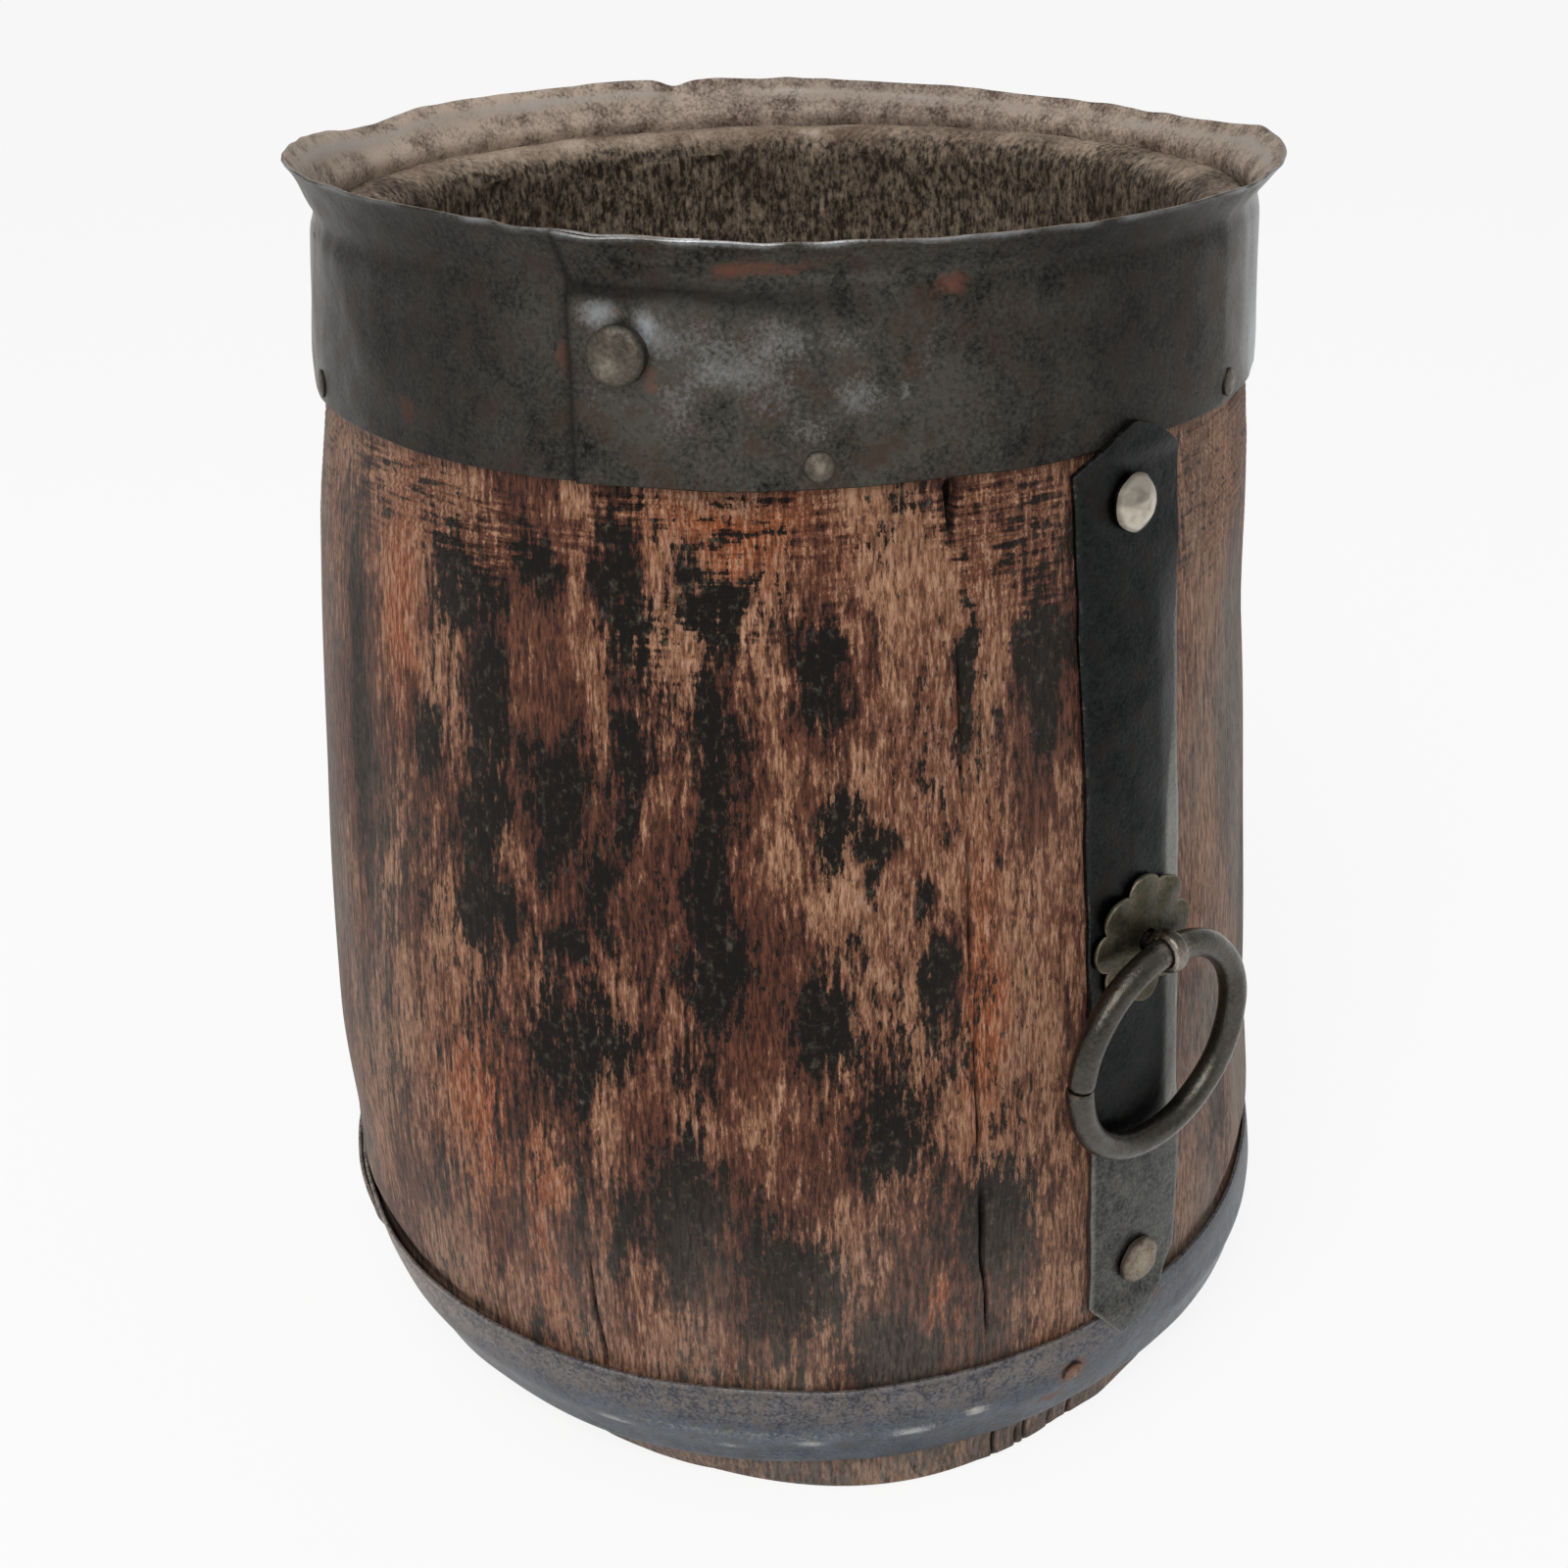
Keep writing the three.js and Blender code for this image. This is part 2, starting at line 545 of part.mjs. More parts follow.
const baseNails = BASE_NAIL_AZIMUTHS.map((azimuth, i) => ({
  name: `base_nail_${i + 1}`,
  kind: SMALL_NAIL,
  place: seat(baseOuter, degToRad(azimuth), BASE_BAND_LOW + BASE_NAIL_RISE),
}));

// Hole for the staple's two legs, along Y through strap and wall.
const legHoleLength = 2 * (WALL_AT_FOOT + STRAP_SHEET);
const legHole = new THREE.CylinderGeometry(LEG_HOLE, LEG_HOLE, legHoleLength, 2 * NAIL_SEGMENTS);
legHole.translate(0, -strapInner(EYE_HEIGHT), EYE_HEIGHT);

// Materials
function finish(color, roughness, metalness) {
  return () => new THREE.MeshStandardMaterial({ color, roughness, metalness });
}
const agedWood = finish(0x6b4630, 0.75, 0);
const sheetIron = finish(0x2b2c2a, 0.55, 0.8);
const strapIron = finish(0x1b1f22, 0.45, 0.8);
const barIron = finish(0x26282a, 0.4, 0.85);
const rosetteIron = finish(0x4a4a3c, 0.6, 0.7);
const rustyIron = finish(0x6e5f50, 0.65, 0.6);
const nickel = finish(0xb9b2a4, 0.3, 1);

function piece(name, geometry, material) {
  const mesh = new THREE.Mesh(geometry, material());
  mesh.name = name;
  return mesh;
}

function drivenNail({ name, kind, place }, material) {
  const mesh = piece(name, nail(kind), material);
  mesh.applyMatrix4(place);
  return mesh;
}

// Assembly
const allNails = [...rimNails, ...strapNails, ...baseNails];
const measure = new THREE.Group();
measure.add(piece("wooden_body", cut(woodenBody(), [legHole, ...allNails.map(nailHole)]), agedWood));

const rim = new THREE.Group();
rim.add(piece("rim_band", cut(rimBand(), rimNails.map(nailHole)), sheetIron));
rimNails.forEach((one) => rim.add(drivenNail(one, rustyIron)));

const base = new THREE.Group();
base.add(piece("base_band", cut(baseBand(), baseNails.map(nailHole)), sheetIron));
baseNails.forEach((one) => base.add(drivenNail(one, rustyIron)));

const strap = new THREE.Group();
strap.add(piece("side_strap", cut(sideStrap(), [legHole, ...strapNails.map(nailHole)]), strapIron));
strap.add(drivenNail(strapNails[0], nickel));
strap.add(drivenNail(strapNails[1], rustyIron));
strap.add(piece("rosette", cut(rosette()), rosetteIron));
strap.add(piece("ring_staple", cut(ringStaple()), barIron));

const hanger = new THREE.Group();
hanger.position.set(0, -EYE_CENTRE, EYE_HEIGHT);
hanger.rotation.x = -ringLean();
hanger.add(piece("ring", cut(ring()), barIron));

measure.add(rim, base, strap, hanger);

export default measure;
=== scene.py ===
# %% [markdown]
# # A grain measure of hollowed wood and sheet iron
#
# The measure is one block of wood, hollowed from above, and bound at the mouth and the foot with strips
# of sheet iron. An iron strap runs up its side and carries a lifting ring. The frame that is loaded here
# holds every solid at its true size and place. This script keeps them, and gives the pieces the shapes
# and surfaces that tools, hands and years have left on them.

# %% Load the frame
import json

import bmesh
import bpy
import numpy as np
from mathutils import Matrix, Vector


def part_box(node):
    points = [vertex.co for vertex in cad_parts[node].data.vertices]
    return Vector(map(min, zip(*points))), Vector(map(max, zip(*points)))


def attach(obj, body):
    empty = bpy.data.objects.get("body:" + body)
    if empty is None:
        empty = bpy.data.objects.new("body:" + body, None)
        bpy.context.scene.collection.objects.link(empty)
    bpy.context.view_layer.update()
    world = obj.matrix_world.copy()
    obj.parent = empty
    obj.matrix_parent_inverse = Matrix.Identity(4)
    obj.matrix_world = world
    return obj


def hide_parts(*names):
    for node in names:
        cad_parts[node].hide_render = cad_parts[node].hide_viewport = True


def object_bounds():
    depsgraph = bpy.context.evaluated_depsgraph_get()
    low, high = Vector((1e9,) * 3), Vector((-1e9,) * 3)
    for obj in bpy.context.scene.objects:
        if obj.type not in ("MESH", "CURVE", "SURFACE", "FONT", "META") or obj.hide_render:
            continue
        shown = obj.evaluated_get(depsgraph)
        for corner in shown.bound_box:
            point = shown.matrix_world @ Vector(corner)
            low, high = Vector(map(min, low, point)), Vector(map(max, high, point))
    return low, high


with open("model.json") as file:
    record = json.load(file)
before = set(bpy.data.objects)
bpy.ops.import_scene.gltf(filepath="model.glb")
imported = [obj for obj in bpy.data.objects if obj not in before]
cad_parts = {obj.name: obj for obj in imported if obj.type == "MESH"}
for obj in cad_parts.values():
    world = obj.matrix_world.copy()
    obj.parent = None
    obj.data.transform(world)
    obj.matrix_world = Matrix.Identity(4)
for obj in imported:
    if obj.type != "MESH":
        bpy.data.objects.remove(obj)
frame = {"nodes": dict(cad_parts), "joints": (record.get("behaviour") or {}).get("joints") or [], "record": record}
cad_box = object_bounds()
print("frame:", len(frame["nodes"]), "nodes, from", tuple(cad_box[0]), "to", tuple(cad_box[1]))

# %% [markdown]
# ## Camera
#
# The photograph was taken from close by and from above, so the mouth looks almost as wide as the foot.
# Blender could frame the object by itself, but then the lines would not run together as they do in the
# photograph. A pinhole camera was fitted to it instead, and these are its place and its turn.

# %% Camera
MM = 0.001
SENSOR_WIDTH = 36  # mm
CAMERA_AZIMUTH = np.radians(-38.2)  # 0 is in front of the strap
CAMERA_DISTANCE = 426.6  # from the axis, mm
CAMERA_HEIGHT = 361.1
CAMERA_PITCH = np.radians(28.2)
CAMERA_YAW = np.radians(-0.36)
CAMERA_ROLL = np.radians(-1.51)
CAMERA_LENS = 40.5  # mm
NEAR_CLIP = 0.01  # metres


def in_scene(name, data):
    """New object with this data, linked into the scene."""
    made = bpy.data.objects.new(name, data)
    bpy.context.scene.collection.objects.link(made)
    return made


turn = Matrix.Rotation(CAMERA_AZIMUTH - CAMERA_YAW, 4, "Z")
tilt = Matrix.Rotation(np.pi / 2 - CAMERA_PITCH, 4, "X")
roll = Matrix.Rotation(CAMERA_ROLL, 4, "Z")
camera_place = (
    CAMERA_DISTANCE * np.sin(CAMERA_AZIMUTH) * MM,
    -CAMERA_DISTANCE * np.cos(CAMERA_AZIMUTH) * MM,
    CAMERA_HEIGHT * MM,
)
camera_data = bpy.data.cameras.new("camera")
camera_data.lens = CAMERA_LENS
camera_data.sensor_width = SENSOR_WIDTH
camera_data.clip_start = NEAR_CLIP
camera = in_scene("camera", camera_data)
camera.matrix_world = Matrix.Translation(camera_place) @ turn @ tilt @ roll
bpy.context.scene.camera = camera
print("camera at", tuple(round(c, 3) for c in camera_place))

# %% [markdown]
# ## Nodes and colours
#
# Every finish below is a small tree of shader nodes. One function adds a node: it sets the node's
# properties, and fills its inputs with a value or with a link from another node. Colours are written as
# hex values, and are turned to linear light once, here.

# %% Helpers for finishes
MIX = "ShaderNodeMix"
MATH = "ShaderNodeMath"
RANGE = "ShaderNodeMapRange"
NOISE = "ShaderNodeTexNoise"
MAPPING = "ShaderNodeMapping"
FIELD = "ShaderNodeAttribute"
# A colour Mix node has its factor, its two colours and its result under these numbers.
FACTOR, FIRST, SECOND, RESULT = 0, 6, 7, 2


def linear(hex_colour):
    """RGBA in linear light from an sRGB hex value, by the usual curve with its straight foot."""
    channels = np.array([int(hex_colour[i:i + 2], 16) for i in (1, 3, 5)]) / 255
    curve = np.where(channels <= 0.04045, channels / 12.92, ((channels + 0.055) / 1.055) ** 2.4)
    return (*curve, 1.0)


def add(tree, kind, inputs=None, **settings):
    """Adds a node to a tree, sets its properties, and fills its inputs with values or links."""
    node = tree.nodes.new(kind)
    for name, value in settings.items():
        setattr(node, name, value)
    for key, value in (inputs or {}).items():
        if isinstance(value, bpy.types.NodeSocket):
            tree.links.new(value, node.inputs[key])
        else:
            node.inputs[key].default_value = value
    return node


def per_mm(width, length):
    """Scale of a pattern whose cells are this wide and this long, in mm, for coordinates in metres."""
    return (1 / (width * MM), 1 / (width * MM), 1 / (length * MM))


def new_finish(name):
    """New material with an empty node tree; returns both."""
    finish = bpy.data.materials.new(name)
    finish.use_nodes = True
    finish.node_tree.nodes.clear()
    return finish, finish.node_tree


# %% [markdown]
# ## Stage
#
# The photograph is a cut-out on white. A large pale floor stands for it: part of its white is its own
# light, so that it stays white to the eye, and the rest is lit, so that the measure still has a shadow
# to stand in. The light is a pale sky all round and one broad lamp above, on the left of the camera.

# %% Floor
FLOOR_HALF = 20  # metres
OWN_LIGHT = 0.86  # share of the floor's white that doesn't depend on the lamps

floor_mesh = bpy.data.meshes.new("floor")
floor_corners = [(-FLOOR_HALF, -FLOOR_HALF, 0), (FLOOR_HALF, -FLOOR_HALF, 0),
                 (FLOOR_HALF, FLOOR_HALF, 0), (-FLOOR_HALF, FLOOR_HALF, 0)]
floor_mesh.from_pydata(floor_corners, [], [(0, 1, 2, 3)])
floor = in_scene("floor", floor_mesh)

floor_finish, paper = new_finish("white_paper")
rays = add(paper, "ShaderNodeLightPath").outputs
seen = add(paper, MATH, {0: rays["Is Camera Ray"], 1: rays["Is Glossy Ray"]}, operation="MAXIMUM")
seen = add(paper, MATH, {0: seen.outputs[0], 1: rays["Is Transmission Ray"]}, operation="MAXIMUM")
own = add(paper, MATH, {0: seen.outputs[0], 1: OWN_LIGHT}, operation="MULTIPLY")
lit = add(paper, "ShaderNodeBsdfDiffuse", {"Color": linear("#f6f6f6")})
glow = add(paper, "ShaderNodeEmission", {"Color": (1, 1, 1, 1), "Strength": 1.0})
white = add(paper, "ShaderNodeMixShader", {0: own.outputs[0], 1: lit.outputs[0], 2: glow.outputs[0]})
add(paper, "ShaderNodeOutputMaterial", {"Surface": white.outputs[0]})
floor_mesh.materials.append(floor_finish)

# %% Sky and lamp
SKY_STRENGTH = 0.5
LAMP_WATTS = 17
LAMP_SIZE = 1.3
LAMP_AZIMUTH = np.radians(-55)
LAMP_REACH = 1.2
LAMP_HEIGHT = 1.5

world = bpy.data.worlds.new("pale_sky")
world.use_nodes = True
sky = world.node_tree
sky.nodes.clear()
rays = add(sky, "ShaderNodeLightPath").outputs
seen = add(sky, MATH, {0: rays["Is Camera Ray"], 1: rays["Is Transmission Ray"]}, operation="MAXIMUM")
strength = add(sky, RANGE, {"Value": seen.outputs[0], "To Min": SKY_STRENGTH, "To Max": 1.0})
backdrop = add(sky, "ShaderNodeBackground", {"Color": (1, 1, 1, 1), "Strength": strength.outputs[0]})
add(sky, "ShaderNodeOutputWorld", {"Surface": backdrop.outputs[0]})
bpy.context.scene.world = world

lamp_data = bpy.data.lights.new("broad_lamp", "AREA")
lamp_data.energy = LAMP_WATTS
lamp_data.shape = "DISK"
lamp_data.size = LAMP_SIZE
lamp = in_scene("broad_lamp", lamp_data)
lamp_place = (LAMP_REACH * np.sin(LAMP_AZIMUTH), -LAMP_REACH * np.cos(LAMP_AZIMUTH), LAMP_HEIGHT)
lamp_lean = Matrix.Rotation(np.arctan2(LAMP_REACH, LAMP_HEIGHT - cad_box[1].z / 2), 4, "X")
lamp_turn = Matrix.Rotation(LAMP_AZIMUTH, 4, "Z")
lamp.matrix_world = Matrix.Translation(lamp_place) @ lamp_turn @ lamp_lean
bpy.context.scene.view_settings.view_transform = "Standard"
print("floor, sky and one lamp of", LAMP_WATTS, "W")

# %% [markdown]
# ## Points and unevenness
#
# Nothing on this measure is exactly round or flat. Its shapes are still easiest to write round the axis:
# a distance, an azimuth and a height. The unevenness comes from smooth random fields whose numbers are
# seeded, so that each run gives the same dents. Whole grids of points are worked out at once.

# %% Helpers for shapes
LATTICE = 64


def polar(radius, azimuth, height):
    """Points in mm: azimuth 0 looks at the strap, down -Y, and grows towards +X."""
    radius, azimuth, height = np.broadcast_arrays(radius, azimuth, height)
    return np.stack([radius * np.sin(azimuth), -radius * np.cos(azimuth), height], axis=-1)


def step(value, low, high):
    """0 below low, 1 above high, and between them the smooth curve 3t^2 - 2t^3."""
    t = np.clip((value - low) / (high - low), 0, 1)
    return t * t * (3 - 2 * t)


def bell(value, width):
    """Bell curve of height 1 at 0 that falls to 1/e at width."""
    return np.exp(-((value / width) ** 2))


def apart(azimuth, centre_degrees):
    """Angle from a centre to an azimuth, the short way round, in radians."""
    return (azimuth - np.radians(centre_degrees) + np.pi) % (2 * np.pi) - np.pi


def noise(points, cell, seed):
    """Smooth field from -1 to 1: random numbers on a lattice of cells, blended between 8 corners."""
    lattice = np.random.default_rng(seed).uniform(-1, 1, (LATTICE, LATTICE, LATTICE))
    scaled = points / np.asarray(cell, float)
    low = np.floor(scaled).astype(int)
    part = scaled - low
    part = part * part * (3 - 2 * part)
    total = np.zeros(points.shape[:-1])
    for corner in np.ndindex(2, 2, 2):
        weight = np.prod(np.where(corner, part, 1 - part), axis=-1)
        i, j, k = np.moveaxis((low + corner) % LATTICE, -1, 0)
        total += weight * lattice[i, j, k]
    return total


def unevenness(points, layers):
    """Sum of random fields, each by its amount, the size of its cells in mm, and its seed."""
    return sum(amount * noise(points, cell, seed) for amount, cell, seed in layers)


def bulges(azimuths, places):
    """Sum of bell curves round the axis, each by its azimuth and spread in degrees and its height."""
    return sum(size * bell(apart(azimuths, centre), np.radians(spread)) for centre, spread, size in places)


def spots(azimuths, heights, radius, places):
    """Soft spots set by azimuth, height, half a width and half a height; the strongest one counts."""
    total = np.zeros(np.broadcast_shapes(azimuths.shape, heights.shape))
    for centre, middle, wide, tall in places:
        away = (apart(azimuths, centre) * radius / wide) ** 2 + ((heights - middle) / tall) ** 2
        total = np.maximum(total, np.exp(-away))
    return total


# %% [markdown]
# ## Meshes
#
# Every piece below is a grid of points whose columns close into a loop: a turned block, a strip of sheet,
# a bar or a nail. One function makes the mesh, closes its ends, turns its faces outwards, and lets it ride
# on its body in place of its node.

# %% Grid to mesh
MERGE = 1e-7  # metres: points nearer than this are one
SHARP = np.radians(38)
BODY = {node: body for body, nodes in frame["record"]["behaviour"]["bodies"].items() for node in nodes}


def grid_faces(rows, columns, wrap, caps):
    """Quads between neighbours; caps are rungs between the facing points of an end's loop."""
    index = np.arange(rows * columns).reshape(rows, columns)
    around = np.hstack([index, index[:, :1]])
    around = np.vstack([around, around[:1]]) if wrap else around
    quads = np.stack([around[:-1, :-1], around[:-1, 1:], around[1:, 1:], around[1:, :-1]], -1)
    quads = quads.reshape(-1, 4)
    if not caps:
        return quads
    i = np.arange(columns // 2 - 1)
    rungs = np.stack([i, columns - 1 - i, columns - 2 - i, i + 1], -1)
    return np.vstack([quads, rungs, (rows - 1) * columns + rungs[:, ::-1]])


def close_shell(mesh):
    """Merges poles and seams and turns all faces outwards; returns triangles and open edges."""
    shell = bmesh.new()
    shell.from_mesh(mesh)
    bmesh.ops.remove_doubles(shell, verts=shell.verts, dist=MERGE)
    bmesh.ops.recalc_face_normals(shell, faces=shell.faces)
    if shell.calc_volume(signed=True) < 0:
        bmesh.ops.reverse_faces(shell, faces=shell.faces)
    open_edges = sum(not edge.is_manifold for edge in shell.edges)
    triangles = sum(len(face.verts) - 2 for face in shell.faces)
    shell.to_mesh(mesh)
    shell.free()
    return triangles, open_edges


def make_piece(name, points, node, finish, fields=None, wrap=False, caps=False):
    """Piece from a grid of points in mm; fields are numbers per point for the finish to read."""
    rows, columns = points.shape[:2]
    quads = grid_faces(rows, columns, wrap, caps)
    mesh = bpy.data.meshes.new(name)
    mesh.vertices.add(rows * columns)
    mesh.vertices.foreach_set("co", (points * MM).ravel())
    mesh.loops.add(quads.size)
    mesh.loops.foreach_set("vertex_index", quads.ravel())
    mesh.polygons.add(len(quads))
    mesh.polygons.foreach_set("loop_start", np.arange(0, quads.size, 4))
    mesh.update(calc_edges=True)
    for field, values in (fields or {}).items():
        numbers = np.broadcast_to(values, (rows, columns)).astype(np.float32).ravel()
        mesh.attributes.new(field, "FLOAT", "POINT").data.foreach_set("value", numbers)
    triangles, open_edges = close_shell(mesh)
    mesh.shade_smooth()
    mesh.set_sharp_from_angle(angle=SHARP)
    mesh.materials.append(finish)
    made = in_scene(name, mesh)
    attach(made, BODY[node])
    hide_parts(node)
    print(f"{name}: {triangles} triangles, {open_edges} open edges")


# %% [markdown]
# ## Sizes of the block
#
# The heights are read from the frame's boxes. The radii that no box gives are repeated here.

# %% Sizes of the block
BODY_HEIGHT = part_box("wooden_body")[1].z / MM
RIM_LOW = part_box("rim_band")[0].z / MM
BASE_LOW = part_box("base_band")[0].z / MM
BASE_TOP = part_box("base_band")[1].z / MM
FOOT_RADIUS = 121
FOOT_EDGE = 1.5
FOOT_CURVE = 1.4
BELLY_RADIUS = 129
BELLY_HEIGHT = 38.5
NECK_RADIUS = 108.6
MOUTH_RADIUS = 106.4
TAPER_CURVE = 1.4
WALL_AT_MOUTH = 12.5
WALL_AT_FOOT = 16
FLOOR_THICKNESS = 24
FLOOR_CORNER = 14
MOUTH_ROUND_INSIDE = 7
MOUTH_ROUND_OUTSIDE = 2
WOOD_FIT = 0.4  # between the wood and the iron bound round it


def wood_radius(height):
    """Outside: a sine to a power from foot to belly, a taper by a power, a steeper line at the neck."""
    lift = np.sin(np.pi / 2 * np.clip(height / BELLY_HEIGHT, 0, 1)) ** FOOT_CURVE
    foot = FOOT_RADIUS + (BELLY_RADIUS - FOOT_RADIUS) * lift
    share = np.clip((height - BELLY_HEIGHT) / (RIM_LOW - BELLY_HEIGHT), 0, 1)
    side = BELLY_RADIUS + (NECK_RADIUS - BELLY_RADIUS) * share**TAPER_CURVE
    up = np.clip((height - RIM_LOW) / (BODY_HEIGHT - RIM_LOW), 0, 1)
    neck = NECK_RADIUS + (MOUTH_RADIUS - NECK_RADIUS) * up
    return np.where(height < BELLY_HEIGHT, foot, np.where(height < RIM_LOW, side, neck))


def cavity_radius(height):
    """Inside: the outside less a wall that grows thicker towards the foot."""
    wall = WALL_AT_FOOT + (WALL_AT_MOUTH - WALL_AT_FOOT) * height / BODY_HEIGHT
    return wood_radius(height) - wall


print("wood is", round(2 * float(wood_radius(BELLY_HEIGHT))), "mm across the belly")

# %% [markdown]
# ## Finish of the wood
#
# The block is an open-grained hardwood, hewn outside with an adze and hollowed with a gouge. Handling
# has worn it back to tan along the fibres, while soot and oil stayed in long dark blotches. One could
# paint such a surface on an image, but a pattern in space needs no unwrapping: noise that is stretched
# along the block's height gives fibres. Where the blotches, cracks and tool marks lie is known from the
# shape, so the mesh carries them as numbers, and the noise frays their edges into fibres. The colours are
# laid on in coats, as oil, soot and dust came onto the real wood: each coat covers a share of each point.

# %% Coats of a finish
def patterns(tree, cells, detail=5):
    """Noise in space by name: width and length of its cells in mm, and how rough its finer octaves are."""
    place = add(tree, "ShaderNodeTexCoord").outputs["Object"]
    made = {}
    for kind, (width, length, roughness) in cells.items():
        space = add(tree, MAPPING, {"Vector": place, "Scale": per_mm(width, length)}).outputs[0]
        inputs = {"Vector": space, "Scale": 1, "Detail": detail, "Roughness": roughness}
        made[kind] = add(tree, NOISE, inputs).outputs[0]
    return made


def cover(tree, start, low, high, most=1.0, least=0.0, more=(), curve="LINEAR"):
    """Share of a coat: start plus weighted values, brought to least at low and to most at high."""
    total = start
    for value, weight in more:
        total = add(tree, MATH, {0: value, 1: weight, 2: total}, operation="MULTIPLY_ADD").outputs[0]
    inputs = {"Value": total, "From Min": low, "From Max": high, "To Min": least, "To Max": most}
    return add(tree, RANGE, inputs, interpolation_type=curve).outputs[0]


def coated(tree, colour, coats):
    """Colour under coats that are laid on in turn, each with its share and its own colour."""
    for share, coat in coats:
        under, over = (linear(c) if isinstance(c, str) else c for c in (colour, coat))
        inputs = {FACTOR: share, FIRST: under, SECOND: over}
        colour = add(tree, MIX, inputs, data_type="RGBA").outputs[RESULT]
    return colour


# %% Patterns of the wood
wood, tree = new_finish("hewn_hardwood")
pattern = patterns(tree, {
    "fibre": (0.75, 5.5, 0.7),
    "streak": (1.6, 15, 0.62),
    "zone": (14, 40, 0.5),
    "fray": (1.2, 3.4, 0.75),
    "chatter": (10, 1.3, 0.5),
    "speck": (1.9, 2.6, 0.7),
})
fibre, streak, zone, fray, chatter, speck = pattern.values()
WOOD_FIELDS = ("soot", "red", "orange", "grey", "tool", "hollow", "mouth", "crack")
field = {name: add(tree, FIELD, attribute_name=name).outputs["Fac"] for name in WOOD_FIELDS}
# Where the tool chattered, the stains break across the fibres.
ridge = cover(tree, chatter, 0.36, 0.64, most=0.5, least=-0.5)
pattern["ridge"] = add(tree, MATH, {0: ridge, 1: field["tool"]}, operation="MULTIPLY").outputs[0]


def stain(amount, weights, low, high, most):
    """Share of a stain: its amount, frayed by weighted patterns, on a smooth curve between two levels."""
    frayed = [(pattern[kind], weight) for kind, weight in weights.items()]
    return cover(tree, amount, low, high, most, more=frayed, curve="SMOOTHSTEP")


# %% Colours of the outside
# Bare wood: brown to tan in broad zones, orange where oil soaked in, with pale fibres and dark pores.
bare = coated(tree, "#774934", [
    (cover(tree, zone, 0.38, 0.6), "#9f7256"),
    (field["orange"], "#97502b"),
    (cover(tree, fibre, 0.5, 0.62, 0.65), "#c9a286"),
    (cover(tree, fibre, 0.5, 0.38, 0.85), "#3f261c"),
])
# Red-brown oil lies along the fibres, then a thin film of soot, thick soot in ragged flakes, and grey,
# which on the two sides that turn away from the camera is painted sheen.
oily = stain(field["red"], {"fibre": 1.0, "streak": 1.8, "fray": 1.4, "ridge": -0.6}, 2.44, 2.64, 0.93)
film = stain(field["soot"], {"fibre": 1.2, "streak": 2.0, "fray": 1.2, "ridge": -0.6}, 2.34, 3.0, 0.6)
sooted = stain(field["soot"], {"fibre": 0.9, "streak": 2.1, "fray": 2.4, "ridge": -0.9}, 3.16, 3.34, 0.96)
greyed = cover(tree, fibre, 0.36, 0.6, least=0.3)
greyed = add(tree, MATH, {0: greyed, 1: field["grey"]}, operation="MULTIPLY").outputs[0]
maroon = coated(tree, "#2b130f", [(cover(tree, fibre, 0.42, 0.6), "#673826")])
flakes = coated(tree, "#151412", [(cover(tree, speck, 0.54, 0.72), "#504a40")])
outside = coated(tree, bare, [(oily, maroon), (film, "#26130e"), (sooted, flakes), (greyed, "#8f8379")])

# %% Colours of the hollow and the mouth
torn = cover(tree, speck, 1.11, 1.56, more=[(streak, 0.35), (fray, 1.1)])
damp = cover(tree, zone, 0.5, 0.36, 0.35)
hollow = coated(tree, "#30261f", [(torn, "#a8947e"), (damp, "#33201a")])
mottled = cover(tree, fray, 0.95, 1.45, more=[(zone, 1.4)])
polished = coated(tree, "#6a5748", [(mottled, "#c0ad9a")])
handled = cover(tree, field["mouth"], 0.85, 1.45, more=[(speck, 1.3)])
# The crack field lays painted shade into the cracks and the gap at the base band's upper edge.
colour = coated(tree, outside, [(field["hollow"], hollow), (handled, polished), (field["crack"], "#0b0807")])

# %% Surface of the wood
height = add(tree, MATH, {0: fibre, 1: 0.6, 2: fray}, operation="MULTIPLY_ADD")
height = add(tree, MATH, {0: pattern["ridge"], 1: 0.8, 2: height.outputs[0]}, operation="MULTIPLY_ADD")
bump = add(tree, "ShaderNodeBump", {"Strength": 0.9, "Distance": 0.6 * MM, "Height": height.outputs[0]})
surface = add(tree, "ShaderNodeBsdfPrincipled", {
    "Base Color": colour,
    "Roughness": 0.58,
    "Specular IOR Level": cover(tree, sooted, 0, 1, most=0.1, least=0.2),
    "Normal": bump.outputs[0],
})
add(tree, "ShaderNodeOutputMaterial", {"Surface": surface.outputs[0]})
print("hewn_hardwood:", len(tree.nodes), "nodes")

# %% [markdown]
# ## Shape of the wooden body
#
# A turner would make this form on a lathe. This one was hewn, so it is a turned profile whose points are
# pushed in and out along the profile's own direction: long hollows from the adze, chatter marks under
# the rim band, gouge strokes in the hollow, and two drying cracks. The columns of the grid stand closer
# together where there is a crack, so that its walls are real and its floor is in shadow.

# %% Rows and columns of the block
COLUMN_STEP = 2.3  # mm along the belly
# From and to in degrees, and the step in mm, where the wood is split.
SPLIT_COLUMNS = [(-24.0, -17.4, 0.4), (-17.2, -3.5, 0.5), (-63.5, -58.5, 0.45)]
FOOT_ROWS = np.concatenate([np.linspace(FOOT_EDGE, BASE_LOW + 1, 9), np.linspace(16, BELLY_HEIGHT, 16)])
SIDE_ROWS = np.concatenate([np.linspace(41, 215, 78), np.linspace(215.6, RIM_LOW + 1, 68)])
NECK_ROWS = np.linspace(RIM_LOW + 8, BODY_HEIGHT - MOUTH_ROUND_OUTSIDE, 4)
HOLLOW_ROWS = np.concatenate([np.linspace(BODY_HEIGHT - MOUTH_ROUND_INSIDE, 205, 32),
                              np.linspace(200, FLOOR_THICKNESS + FLOOR_CORNER, 18)])


